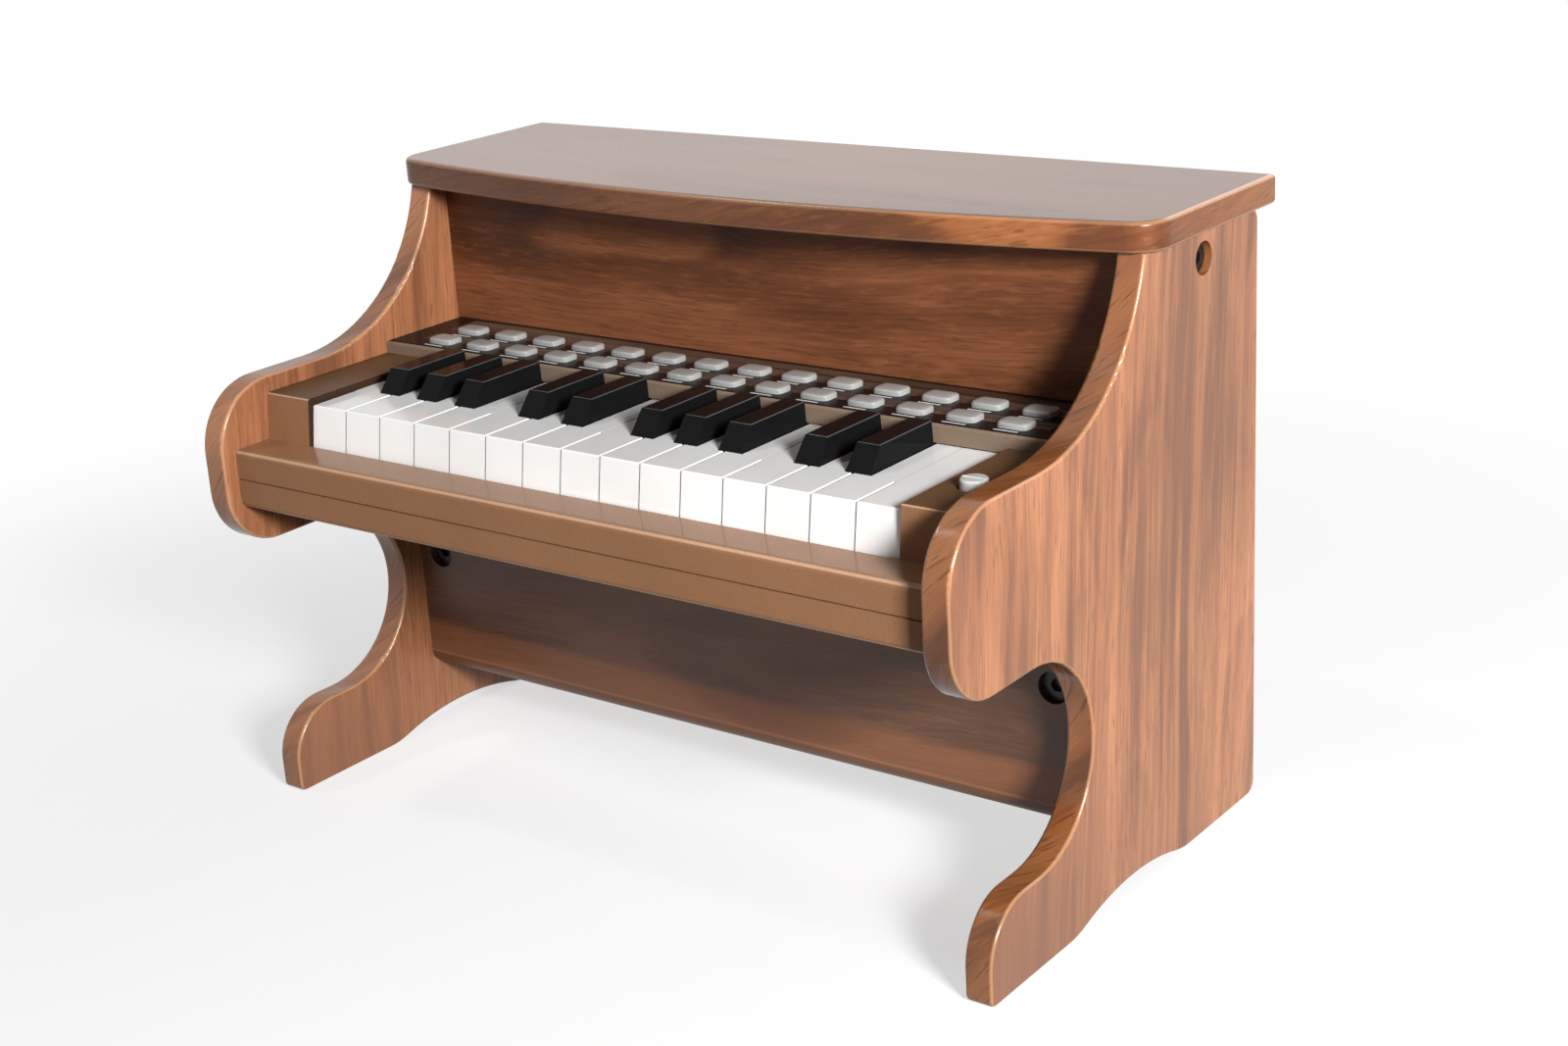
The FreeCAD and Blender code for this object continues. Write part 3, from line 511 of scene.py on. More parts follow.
# Depth, height and radius in mm, and strength, of each dark spot on a panel's outer face. The first two, at
# the foot and at the arm, are painted shade where the key lamp's light falls off; the others darken the film
# in patches.
DARK_SPOTS_AND_PAINTED_SHADE = (
    (-80, 5, 105, 0.9), (-92, 155, 75, 0.25), (29, 171, 34, 0.5),
    (47, 155, 36, 0.5), (35, 122, 26, 0.4), (97, 181, 45, 0.4))
UPRIGHT_LEAN = (4, 90, 0)
EDGE_RUN = (0, 0.9, 1)
EDGE_SLANT = 35
EDGE_STRETCH = (0.8, 0.8, 0.8)
EDGE_SHIFT = (1.6, 0.55, 0)
EDGE_SHEEN = (0.16, 0.23)
SIDE_BEND_HIGHLIGHT = 0.4
SIDE_SPECULAR = 0.4


def spot(tree, where, centre, radius):
    """1 at a point, easing to 0 at a distance from it."""
    return spread(tree, measure(tree, "DISTANCE", where, centre), 0.0, radius, 1.0, 0.0)


def spot_darkening(tree, where, outside, dim):
    """How dark a side panel's face is made: evenly dim, and more near a spot, of which those at the foot and
    the arm are painted shade.
    """
    darkening = dim
    for y, z, radius, strength in DARK_SPOTS_AND_PAINTED_SHADE:
        shade = spot(tree, where, (outside, y * MM, z * MM), radius * MM)
        darkening = calculate(tree, "MAXIMUM", darkening, calculate(tree, "MULTIPLY", shade, strength))
    return darkening


def side_film(name, side, shift, dim, edge_tones):
    """Upright walnut on a side panel's faces, slanted walnut round its edge."""
    material, tree, shader, where = new_material(name)
    face = place_group(tree, walnut, {
        "Vector": turned(tree, where, degrees=UPRIGHT_LEAN, shift=shift), "Flame": 0.45, "Lines": 0.72,
        "Streaks": 0.4, "Fibres": 0.9, "Pores": 1.0, "Wander": 0.02, **FACE_TONES})
    film = along_edge(tree, where, EDGE_RUN, SIDEWAYS, EDGE_SLANT)
    edge = place_group(tree, walnut, {
        "Vector": turned(tree, film, EDGE_STRETCH, shift=EDGE_SHIFT), "Flame": 0.9, "Lines": 0.5,
        "Streaks": 0.3, "Fibres": 0.4, "Pores": 1.0, "Wander": 0.03, **edge_tones})
    darkening = spot_darkening(tree, where, side * cad_high.x, dim)
    # The face darkens towards its dark tone near the spots; those at the foot and the arm are painted shade.
    darkened = mix_colours(tree, darkening, face["Colour"], FACE_TONES["Dark"])
    spotted_face = {**dict(face), "Colour": darkened}
    shiny_edge = {**dict(edge), "Roughness": film_sheen(tree, edge, *EDGE_SHEEN)}
    wrap(tree, shader, spotted_face, shiny_edge, SIDEWAYS, SIDE_BEND_HIGHLIGHT)
    shader.inputs["Specular IOR Level"].default_value = SIDE_SPECULAR
    return material


# The left panel's edge takes the paler face tones: painted light, for a lamp on the left that lights that
# edge.
left_film = side_film("left_panel_film", -1, shift=(0.31, 0.12, 0.0), dim=0.25, edge_tones=FACE_TONES)
right_film = side_film("right_panel_film", 1, shift=(0.0, 0.0, 0.0), dim=0.0, edge_tones=EDGE_TONES)
dress("left_side_panel", left_film)
dress("right_side_panel", right_film)
print("side panels dressed, with", len(right_film.node_tree.nodes), "nodes in the film")

# %% [markdown]
# ## Film on the lid
# On the lid the grain lies along the piano. Its film is the glossiest, with a clear coat, so that at a low
# angle it mirrors the pale studio and looks grey. Its edge film is redder, with a figure that crosses it at
# a slant, and is painted lighter towards the right end, where the key lamp falls: painted light.

# %% Lid
LID_TONES = tones((0.30, 0.145, 0.086), (0.245, 0.113, 0.068), (0.145, 0.068, 0.042))
LID_TURN = (0, 0, 2)
LID_SHIFT = (0.2, 0.05, 0.3)
LID_EDGE_RUN = (1, 0.9, 0)
LID_EDGE_SLANT = 10
LID_PAINTED_LIGHT_FROM = -30 * MM
LID_PAINTED_LIGHT_TO = 140 * MM
LID_PAINTED_LIGHT = (0.66, 1.42)
LID_END_SHADE = 0.86
LID_END_LIMITS = (0.7, 0.95)
LID_RELIEF_SHARE = 0.04
LID_SHEEN = (0.27, 0.28)
LID_BEND_HIGHLIGHT = 0.3
LID_SPECULAR = 0.3
LID_COAT = 0.38
LID_COAT_ROUGHNESS = 0.25


def lid_film():
    """Lying walnut under a clear coat on the lid's faces, redder walnut round its edge, made lighter towards
    the right end by painted light.
    """
    material, tree, shader, where = new_material("lid_film")
    face = place_group(tree, walnut, {
        "Vector": turned(tree, where, degrees=LID_TURN, shift=LID_SHIFT), "Flame": 0.3, "Lines": 0.12,
        "Streaks": 0.1, "Fibres": 0.1, "Pores": 0.0, "Wander": 0.04, **LID_TONES})
    edge = place_group(tree, walnut, {
        "Vector": along_edge(tree, where, LID_EDGE_RUN, UPWARDS, LID_EDGE_SLANT), "Flame": 1.0, "Lines": 0.1,
        "Streaks": 0.05, "Fibres": 0.7, "Pores": 0.9, "Wander": 0.05, **EDGE_TONES})
    across = add_node(tree, "SeparateXYZ", {0: where}).outputs["X"]
    # Painted light: the edge film is made lighter towards the right end, where the key lamp falls, with a
    # fixed factor on the end faces.
    tone_drift_and_painted_light = spread(tree, across, LID_PAINTED_LIGHT_FROM, LID_PAINTED_LIGHT_TO, *LID_PAINTED_LIGHT)
    on_end = spread(tree, facing(tree, SIDEWAYS), *LID_END_LIMITS)
    tone_drift_and_painted_light = mix_values(tree, on_end, tone_drift_and_painted_light, LID_END_SHADE)
    painted_light_colour = mix_colours(tree, 1.0, edge["Colour"], tone_drift_and_painted_light, "MULTIPLY")
    relief = calculate(tree, "MULTIPLY", face["Height"], LID_RELIEF_SHARE)
    polish = film_sheen(tree, face, *LID_SHEEN)
    polished_face = {"Colour": face["Colour"], "Roughness": polish, "Height": relief}
    painted_light_edge = {**dict(edge), "Colour": painted_light_colour}
    on_top = wrap(tree, shader, polished_face, painted_light_edge, UPWARDS, LID_BEND_HIGHLIGHT)
    shader.inputs["Specular IOR Level"].default_value = LID_SPECULAR
    feed(tree, shader.inputs["Coat Weight"], calculate(tree, "MULTIPLY", on_top, LID_COAT))
    shader.inputs["Coat Roughness"].default_value = LID_COAT_ROUGHNESS
    return material


dress("top_lid", lid_film())
print("lid dressed")

# %% [markdown]
# ## Film on the front panels
# The two front panels also have their grain along the piano, and show big flames, so there the figure is
# turned up. The knee panel has painted light and shade along its foot: a paler, redder strip of painted
# light below the keyboard's shadow, and at the very bottom a dark lip of painted shade, where the rounded
# bottom turns down, under a faint painted highlight. All three are set by height.

# %% Front panels
PANEL_TONES = tones((0.232, 0.082, 0.035), (0.142, 0.046, 0.019), (0.064, 0.022, 0.010))
KNEE_TONES = tones((0.170, 0.077, 0.042), (0.106, 0.046, 0.025), (0.047, 0.021, 0.012))
PANEL_TURN = (0, 2, 0)
PANEL_RELIEF = 0.12 * MM
PANEL_SHEEN = (0.38, 0.5)
LIT_STRIP_TOP = 53 * MM
LIT_STRIP_SOFT = 3 * MM
LIT_STRIP_SHARE = 0.45
LIT_STRIP_COLOUR = (0.34, 0.125, 0.052, 1)
LIP_TOP = 37.5 * MM
LIP_SOFT = 0.5 * MM
LIP_SHADE_SHARE = 0.35
LIP_HIGHLIGHT_WIDTH = 1.2 * MM
LIP_HIGHLIGHT_SOFT = 0.4 * MM
LIP_HIGHLIGHT_SHARE = 0.3
LIP_HIGHLIGHT_COLOUR = (0.44, 0.21, 0.11, 1)


def between(tree, value, low, high, soft):
    """1 where a value lies between two limits, eased over a soft edge."""
    rise = spread(tree, value, low - soft, low + soft)
    fall = spread(tree, value, high - soft, high + soft, 1.0, 0.0)
    return calculate(tree, "MULTIPLY", rise, fall)


def add_painted_foot(tree, where, colour, dark):
    """A film's colour with painted light at its foot: a paler strip of painted light, and a dark lip of
    painted shade under a faint painted highlight.
    """
    height = add_node(tree, "SeparateXYZ", {0: where}).outputs["Z"]
    # Painted light, painted shade and a painted highlight, set by height.
    lit_strip = spread(tree, height, LIT_STRIP_TOP - LIT_STRIP_SOFT, LIT_STRIP_TOP + LIT_STRIP_SOFT, LIT_STRIP_SHARE, 0.0)
    colour = mix_colours(tree, lit_strip, colour, LIT_STRIP_COLOUR)
    shaded_lip = spread(tree, height, LIP_TOP - LIP_SOFT, LIP_TOP + LIP_SOFT, LIP_SHADE_SHARE, 0.0)
    colour = mix_colours(tree, shaded_lip, colour, dark)
    highlight_line = between(tree, height, LIP_TOP, LIP_TOP + LIP_HIGHLIGHT_WIDTH, LIP_HIGHLIGHT_SOFT)
    return mix_colours(tree, calculate(tree, "MULTIPLY", highlight_line, LIP_HIGHLIGHT_SHARE), colour, LIP_HIGHLIGHT_COLOUR)


def panel_film(name, tones_used, shift, flame, gloss, foot=False):
    """Lying walnut on a front panel, with painted light and shade at its foot if asked for."""
    material, tree, shader, where = new_material(name)
    film = place_group(tree, walnut, {
        "Vector": turned(tree, where, degrees=PANEL_TURN, shift=shift), "Flame": flame, "Lines": 0.3,
        "Streaks": 0.15, "Fibres": 0.9, "Pores": 0.5, "Wander": 0.03, **tones_used})
    colour = film["Colour"]
    if foot:
        colour = add_painted_foot(tree, where, colour, tones_used["Dark"])
    feed(tree, shader.inputs["Base Color"], colour)
    feed(tree, shader.inputs["Roughness"], film_sheen(tree, film, *PANEL_SHEEN))
    shader.inputs["Specular IOR Level"].default_value = gloss
    raise_grain(tree, shader, film["Height"], PANEL_RELIEF, FILM_STRENGTH)
    return material


upper_film = panel_film("upper_panel_film", PANEL_TONES, shift=(0.37, 0.0, 0.55), flame=1.2, gloss=0.15)
knee_film = panel_film(
    "knee_panel_film", KNEE_TONES, shift=(0.5, 0.3, 0.6), flame=0.8, gloss=0.45, foot=True)
dress("upper_front_panel", upper_film)
dress("knee_panel", knee_film)
print("front panels dressed")

# %% [markdown]
# ## Bare battens
# The battens that the bolts draw up are plain planed softwood. The same group makes it: pale tones, faint
# streaks, hardly any pores, and a dull surface.

# %% Battens
PINE_TONES = tones((0.62, 0.42, 0.22), (0.52, 0.33, 0.16), (0.36, 0.20, 0.085))
PINE_RELIEF = 0.2 * MM
PINE_SHEEN = (0.55, 0.75)


def bare_pine():
    """Planed softwood with its grain along the piano."""
    material, tree, shader, where = new_material("planed_pine")
    wood = place_group(tree, walnut, {
        "Vector": where, "Flame": 0.8, "Lines": 0.5, "Streaks": 0.35, "Fibres": 1.0, "Pores": 0.1,
        "Wander": 0.016, **PINE_TONES})
    feed(tree, shader.inputs["Base Color"], wood["Colour"])
    feed(tree, shader.inputs["Roughness"], film_sheen(tree, wood, *PINE_SHEEN))
    raise_grain(tree, shader, wood["Height"], PINE_RELIEF)
    return material


pine = bare_pine()
for node in ("lid_batten", "corner_battens"):
    dress(node, pine)
print("battens dressed")

# %% [markdown]
# ## Moulded skins
# The keyboard unit is sprayed in a satin bronze brown with a hint of metal, the keys are moulded in
# glossy plastic and the tone buttons in a pale one. What they share is a skin that is never quite even: a
# slow drift of tone, small flakes or specks, and an almost flat orange peel. A group makes these three
# from a colour.

# %% Skin group
FLAKES_PER_METRE = 2600.0
# Cells to the metre and the detail of each pattern.
DRIFT = (14, 3.0)
SMUDGES = (45, 4.0)
PEEL = (700, 2.0)
DRIFT_LIMITS = (0.3, 0.7)
DRIFT_SHADES = (0.95, 1.05)
SMUDGE_LIMITS = (0.35, 0.7)

skin, given, result = new_group(
    "moulded_skin",
    [("Vector", "Vector"), ("Colour", "Color"), ("Flakes", "Float"), ("Smooth", "Float"), ("Dull", "Float")],
    [("Colour", "Color"), ("Roughness", "Float"), ("Height", "Float")])
cells = add_node(skin, "TexVoronoi", {"Vector": given["Vector"], "Scale": FLAKES_PER_METRE})
speck = add_node(skin, "SeparateColor", {0: cells.outputs["Color"]}).outputs[0]
speck = calculate(skin, "MULTIPLY", calculate(skin, "SUBTRACT", speck, NOISE_MIDDLE), given["Flakes"])
tone_drift_and_painted_light = spread(skin, cloud(skin, given["Vector"], *DRIFT), *DRIFT_LIMITS, *DRIFT_SHADES)
tone = calculate(skin, "ADD", tone_drift_and_painted_light, speck)
feed(skin, result["Colour"], mix_colours(skin, 1.0, given["Colour"], tone, "MULTIPLY"))
smudge = spread(skin, cloud(skin, given["Vector"], *SMUDGES), *SMUDGE_LIMITS)
feed(skin, result["Roughness"], mix_values(skin, smudge, given["Smooth"], given["Dull"]))
feed(skin, result["Height"], cloud(skin, given["Vector"], *PEEL))
print("skin group:", len(skin.nodes), "nodes")

# %% [markdown]
# ## Keys, buttons and other mouldings
# A moulding is the skin in one colour. The flanks of the white keys are dimmer, painted shade, so that the
# gaps between the keys read as dark lines. The rounded corners of the black keys catch the light in real
# life as thin pale lines. They are narrower than a pixel here, so a little pale colour on them, chosen by
# the normal, helps them to show: a painted highlight.

# %% Moulding helpers
FLANK_LIMITS = (0.8, 0.95)
CORNER_ACROSS = (0.35, 0.85)
CORNER_ACROSS_SOFT = 0.05
CORNER_AHEAD = (0.74, 0.94)
CORNER_AHEAD_SOFT = 0.03
CORNER_TOP_LIMITS = (0.45, 0.55)
CORNER_TOP_SHARE = 0.35
CORNER_AHEAD_SHARE = 0.5


def painted_corner_highlights(tree, colour, corner_highlight):
    """A colour that turns paler on rounded corners, a painted highlight: fully at the flanks, less at the
    top.
    """
    level = facing(tree, UPWARDS)
    across = between(tree, facing(tree, SIDEWAYS), *CORNER_ACROSS, CORNER_ACROSS_SOFT)
    fall = spread(tree, level, *CORNER_TOP_LIMITS, 1.0, CORNER_TOP_SHARE)
    across = calculate(tree, "MULTIPLY", across, fall)
    ahead = between(tree, level, *CORNER_AHEAD, CORNER_AHEAD_SOFT)
    ahead = calculate(tree, "MULTIPLY", ahead, CORNER_AHEAD_SHARE)
    return mix_colours(tree, calculate(tree, "MAXIMUM", across, ahead), colour, corner_highlight)


def moulded(name, colour, flakes, smooth, dull, peel, gloss=0.5, flank_shade=1.0, corner_highlight=None):
    """A moulded plastic. Its flanks can be dimmer, painted shade, and its rounded corners paler, a painted
    highlight.
    """
    material, tree, shader, where = new_material(name)
    if corner_highlight:
        # Painted highlight on the rounded corners.
        colour = painted_corner_highlights(tree, colour, corner_highlight)
    if flank_shade < 1.0:
        # Painted shade: the flanks are dimmer, so the gaps between the keys read dark.
        dim = spread(tree, facing(tree, SIDEWAYS), *FLANK_LIMITS, 1.0, flank_shade)
        colour = mix_colours(tree, 1.0, colour, dim, "MULTIPLY")
    made = place_group(tree, skin, {
        "Vector": where, "Colour": colour, "Flakes": flakes, "Smooth": smooth, "Dull": dull})
    feed(tree, shader.inputs["Base Color"], made["Colour"])
    feed(tree, shader.inputs["Roughness"], made["Roughness"])
    shader.inputs["Specular IOR Level"].default_value = gloss
    raise_grain(tree, shader, made["Height"], peel)
    return material


print("moulding helpers ready")

# %% [markdown]
# Six plastics come from these helpers. The name of a piece starts with what it is, so that start picks its
# plastic.

# %% Plastics
ivory = moulded(
    "white_key_gloss", (0.92, 0.92, 0.905, 1), flakes=0.0, smooth=0.10, dull=0.13, peel=0.004 * MM,
    flank_shade=0.5)
ebony = moulded(
    "black_key_gloss", (0.006, 0.006, 0.0065, 1), flakes=0.0, smooth=0.08, dull=0.11, peel=0.002 * MM,
    gloss=0.05, corner_highlight=(0.16, 0.16, 0.165, 1))
cap_plastic = moulded(
    "button_gloss", (0.33, 0.328, 0.315, 1), flakes=0.05, smooth=0.2, dull=0.28, peel=0.008 * MM)
knob_plastic = moulded(
    "knob_gloss", (0.60, 0.595, 0.57, 1), flakes=0.0, smooth=0.12, dull=0.22, peel=0.004 * MM)
speaker_black = moulded(
    "speaker_paper", (0.02, 0.02, 0.021, 1), flakes=0.3, smooth=0.6, dull=0.85, peel=0.05 * MM)
silicone = moulded(
    "silicone_rubber", (0.45, 0.46, 0.44, 1), flakes=0.05, smooth=0.45, dull=0.6, peel=0.02 * MM)

mouldings = {
    "white_key": ivory, "black_key": ebony, "button_pair": cap_plastic, "volume_knob": knob_plastic,
    "loudspeaker": speaker_black, "key_contact_strip": silicone}
for node in nodes:
    for start, plastic in mouldings.items():
        if node.startswith(start):
            dress(node, plastic)
print("mouldings dressed in", len(mouldings), "plastics")

# %% [markdown]
# ## Bronze paint
# The shells of the keyboard unit are sprayed bronze. The paint looks different from face to face: the riser
# under the buttons is greyer, the tops of the cheeks are darker, painted shade, the walls beside the keys
# are nearly black, painted shade as in a deep gap, and the rounded corners show as pale lines, a painted
# highlight. The top of the rail is polished by hands and mirrors the keys, which a clear coat gives. Place
# and normal tell these faces apart, so the paint is one material.

# %% Where the paint differs
RISER = -16.75 * MM
CHEEK_TOP = 184.3 * MM
RAIL_TOP = 164.3 * MM
RISER_STARTS = (RISER - 0.4 * MM, RISER - 0.2 * MM)
RAIL_ENDS = (RAIL_TOP + 0.5 * MM, RAIL_TOP + 1 * MM)
CHEEK_ENDS = (CHEEK_TOP + 1 * MM, CHEEK_TOP + 2 * MM)
KEY_WELL = (149 * MM, 153 * MM)
TOP_REACH = 0.3 * MM
TOP_SOFT = 0.1 * MM
TOP_LIMITS = (0.85, 0.95)
WALL_LIMITS = (0.6, 0.9)
CORNER_LIMITS = (0.5, 0.86)
CORNER_SOFT = 0.05
CORNER_SHARE = 0.6


def on_top_at(tree, axes, level, height):
    """1 on level faces at a height."""
    there = between(tree, axes["Z"], height - TOP_REACH, height + TOP_REACH, TOP_SOFT)
    return calculate(tree, "MULTIPLY", there, spread(tree, level, *TOP_LIMITS))


def on_riser(tree, axes):
    """1 behind the riser's front, above the rail."""
    behind = spread(tree, axes["Y"], *RISER_STARTS)
    above = spread(tree, axes["Z"], *RAIL_ENDS)
    return calculate(tree, "MULTIPLY", behind, above)


def in_key_well(tree, axes):
    """1 on the walls beside the keys, which get painted shade."""
    near_wall = between(tree, calculate(tree, "ABSOLUTE", axes["X"]), *KEY_WELL, TOP_SOFT)
    return calculate(tree, "MULTIPLY", near_wall, spread(tree, facing(tree, SIDEWAYS), *WALL_LIMITS))


def on_highlit_corner(tree, axes, level):
    """How much painted highlight the rounded corners get, up to the cheeks' tops."""
    rounded = calculate(tree, "MULTIPLY", between(tree, level, *CORNER_LIMITS, CORNER_SOFT), CORNER_SHARE)
    below = spread(tree, axes["Z"], *CHEEK_ENDS, 1.0, 0.0)
    return calculate(tree, "MULTIPLY", rounded, below)


print("paint differs at heights in mm:", round(RAIL_TOP / MM, 1), round(CHEEK_TOP / MM, 1))

# %% [markdown]
# The paint lays one colour over the other where these helpers say, and then takes the moulded skin.

# %% Bronze paint
BRONZE = (0.29, 0.142, 0.072, 1)
RISER_BRONZE = (0.205, 0.145, 0.102, 1)
SHADED_CHEEK_BRONZE = (0.120, 0.062, 0.030, 1)
SHADED_WELL_BRONZE = (0.035, 0.018, 0.010, 1)
CORNER_HIGHLIGHT_BRONZE = (0.68, 0.44, 0.30, 1)
RAIL_COAT = 0.5
RAIL_COAT_ROUGHNESS = 0.07
PAINT_SPECULAR = 0.08
PAINT_PEEL = 0.008 * MM


def bronze_paint():
    """Satin bronze whose tone and gloss depend on the face, with painted shade and a painted highlight on
    some of them.
    """
    material, tree, shader, where = new_material("bronze_paint")
    axes = add_node(tree, "SeparateXYZ", {0: where}).outputs
    level = facing(tree, UPWARDS)
    colour = mix_colours(tree, on_riser(tree, axes), BRONZE, RISER_BRONZE)
    # Painted shade: the tops of the cheeks are darker.
    colour = mix_colours(tree, on_top_at(tree, axes, level, CHEEK_TOP), colour, SHADED_CHEEK_BRONZE)
    # Painted shade: the walls beside the keys are nearly black.
    colour = mix_colours(tree, in_key_well(tree, axes), colour, SHADED_WELL_BRONZE)
    # Painted highlight: pale lines on the rounded corners.
    colour = mix_colours(tree, on_highlit_corner(tree, axes, level), colour, CORNER_HIGHLIGHT_BRONZE)
    made = place_group(tree, skin, {
        "Vector": where, "Colour": colour, "Flakes": 0.16, "Smooth": 0.38, "Dull": 0.45})
    feed(tree, shader.inputs["Base Color"], made["Colour"])
    feed(tree, shader.inputs["Roughness"], made["Roughness"])
    shader.inputs["Specular IOR Level"].default_value = PAINT_SPECULAR
    on_rail = on_top_at(tree, axes, level, RAIL_TOP)
    feed(tree, shader.inputs["Coat Weight"], calculate(tree, "MULTIPLY", on_rail, RAIL_COAT))
    shader.inputs["Coat Roughness"].default_value = RAIL_COAT_ROUGHNESS
    raise_grain(tree, shader, made["Height"], PAINT_PEEL)
    return material


bronze = bronze_paint()
for node in ("keyboard_upper_shell", "keyboard_lower_shell", "battery_door"):
    dress(node, bronze)
print("keyboard unit painted, with", len(bronze.node_tree.nodes), "nodes in the paint")

# %% [markdown]
# ## Printed overlay
# The button deck carries a satin printed sheet: black, with wood-brown stripes along the rows and a short
# pale bar in front of each button. Every edge of the print is a step in the sheet's own coordinates, so
# the print follows the buttons' columns and rows, which are read from the boxes of the button pairs.

# %% Button columns and rows
FLANGE_LENGTH = 11.8 * MM
COLUMNS = 14
pair_low, pair_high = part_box("button_pair_01")
next_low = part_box("button_pair_02")[0]
COLUMN_PITCH = next_low.x - pair_low.x
FIRST_COLUMN = (pair_low.x + pair_high.x) / 2
FRONT_ROW = pair_low.y + FLANGE_LENGTH / 2
BACK_ROW = pair_high.y - FLANGE_LENGTH / 2
rows = [round(row / MM, 2) for row in (FRONT_ROW, BACK_ROW)]
print("column pitch", round(COLUMN_PITCH / MM, 2), "mm, rows at", rows)

# %% [markdown]
# Each edge of the print is eased over a fraction of a millimetre, because a hard step would look jagged.
# The stripes are the walnut figure in dark tones.

# %% Overlay
STRIPE_TONES = tones((0.13, 0.085, 0.06), (0.09, 0.056, 0.04), (0.035, 0.02, 0.015))
STRIPE_HALF = 162 * MM
FRONT_STRIPE = (FRONT_ROW + 0.5 * MM, FRONT_ROW + 8.5 * MM)
BACK_STRIPE = (BACK_ROW - 1.0 * MM, BACK_ROW + 16.5 * MM)
SHEET_BLACK = (0.006, 0.005, 0.005, 1)
BAR_COLOUR = (0.70, 0.69, 0.66, 1)
# A bar's ends, its soft edge and half a column, as shares of the column pitch.
BAR_SPAN = (-0.26, 0.2)
BAR_SOFT = 0.01
HALF_COLUMN = 0.5
BAR_AHEAD = (-7.6 * MM, -6.5 * MM)
PRINT_SOFT = 0.15 * MM
SHEET_PATCHES = (30, 3.0)
SHEET_GRAIN = (500, 1.0)
SHEET_LIMITS = (0.3, 0.7)
SHEET_ROUGHNESS = (0.2, 0.3)
SHEET_SPECULAR = 0.05
SHEET_RELIEF = 0.004 * MM


def printed_stripes(tree, axes):
    """1 on the two stripes along the rows."""
    front = between(tree, axes["Y"], *FRONT_STRIPE, PRINT_SOFT)
    stripes = calculate(tree, "MAXIMUM", front, between(tree, axes["Y"], *BACK_STRIPE, PRINT_SOFT))
    within = between(tree, axes["X"], -STRIPE_HALF, STRIPE_HALF, PRINT_SOFT)
    return calculate(tree, "MULTIPLY", stripes, within)


def printed_bars(tree, axes):
    """1 on the short bar in front of each button."""
    column = calculate(tree, "DIVIDE", calculate(tree, "SUBTRACT", axes["X"], FIRST_COLUMN), COLUMN_PITCH)
    offset = calculate(tree, "SUBTRACT", column, calculate(tree, "ROUND", column))
    bar = between(tree, offset, *BAR_SPAN, BAR_SOFT)
    on_deck = between(tree, column, -HALF_COLUMN, COLUMNS - HALF_COLUMN, BAR_SOFT)
    bar = calculate(tree, "MULTIPLY", bar, on_deck)
    start, end = BAR_AHEAD
    front = between(tree, axes["Y"], FRONT_ROW + start, FRONT_ROW + end, PRINT_SOFT)
    behind = between(tree, axes["Y"], BACK_ROW + start, BACK_ROW + end, PRINT_SOFT)
    return calculate(tree, "MULTIPLY", bar, calculate(tree, "MAXIMUM", front, behind))


def overlay_print():
    """The printed sheet round the buttons."""
    material, tree, shader, where = new_material("overlay_print")
    axes = add_node(tree, "SeparateXYZ", {0: where}).outputs
    wood = place_group(tree, walnut, {
        "Vector": where, "Flame": 0.4, "Lines": 0.9, "Streaks": 0.8, "Fibres": 1.0, "Pores": 0.5,
        "Wander": 0.01, **STRIPE_TONES})
    colour = mix_colours(tree, printed_stripes(tree, axes), SHEET_BLACK, wood["Colour"])
    colour = mix_colours(tree, printed_bars(tree, axes), colour, BAR_COLOUR)
    feed(tree, shader.inputs["Base Color"], colour)
    patches = cloud(tree, where, *SHEET_PATCHES)
    feed(tree, shader.inputs["Roughness"], spread(tree, patches, *SHEET_LIMITS, *SHEET_ROUGHNESS))
    shader.inputs["Specular IOR Level"].default_value = SHEET_SPECULAR
    raise_grain(tree, shader, cloud(tree, where, *SHEET_GRAIN), SHEET_RELIEF)
    return material


dress("button_overlay", overlay_print())
print("overlay printed for", COLUMNS, "columns")

# %% [markdown]
# ## Modelling by hand
# The next pieces are modelled from a primitive in edit mode. An operator acts on all that is selected, so
# these helpers deselect first, and then select the faces or edges that pass a test.

# %% Opening and picking
def open_mesh(name):
    """Put a new primitive's place in its mesh and go into edit mode."""
    bpy.ops.object.transform_apply(location=True, rotation=True, scale=True)
    piece = bpy.context.object
    piece.name = name
    piece.data.name = name
    bpy.ops.object.mode_set(mode="EDIT")
    return piece


def add_box(name, low, high):
    """A cube over the box between two corners, in edit mode."""
    bpy.ops.object.select_all(action="DESELECT")
    bpy.ops.mesh.primitive_cube_add(size=1.0, location=(low + high) / 2, scale=high - low)
    return open_mesh(name)


def pick(kind, wanted):
    """Select the faces or the edges that pass a test, in edit mode."""
    bpy.ops.mesh.select_mode(type=kind)
    bpy.ops.mesh.select_all(action="DESELECT")
    mesh = bmesh.from_edit_mesh(bpy.context.object.data)
    for part in (mesh.faces if kind == "FACE" else mesh.edges):
        part.select_set(wanted(part))
    bmesh.update_edit_mesh(bpy.context.object.data)


print("opening and picking ready")

# %% [markdown]
# The tests read how far a normal or a direction points up: nearly all the way, hardly at all, or at least
# half of it.

# %% Tests for picking
STEEP = 0.9
SLIGHT = 0.1
HALFWAY = 0.5


def looks_up(face):
    """True for a face that looks up."""
    return face.normal.z > STEEP


def looks_down(face):
    """True for a face that looks down."""
    return face.normal.z < -STEEP


def stands(edge):
    """True for an upright edge."""
    along = (edge.verts[0].co - edge.verts[1].co).normalized()
    return abs(along.z) > STEEP


def is_rim(edge):
    """True for an edge between a side and the top above it."""
    lifts = sorted(face.normal.z for face in edge.link_faces)
    return abs(lifts[0]) < SLIGHT and lifts[-1] > HALFWAY


print("tests ready")

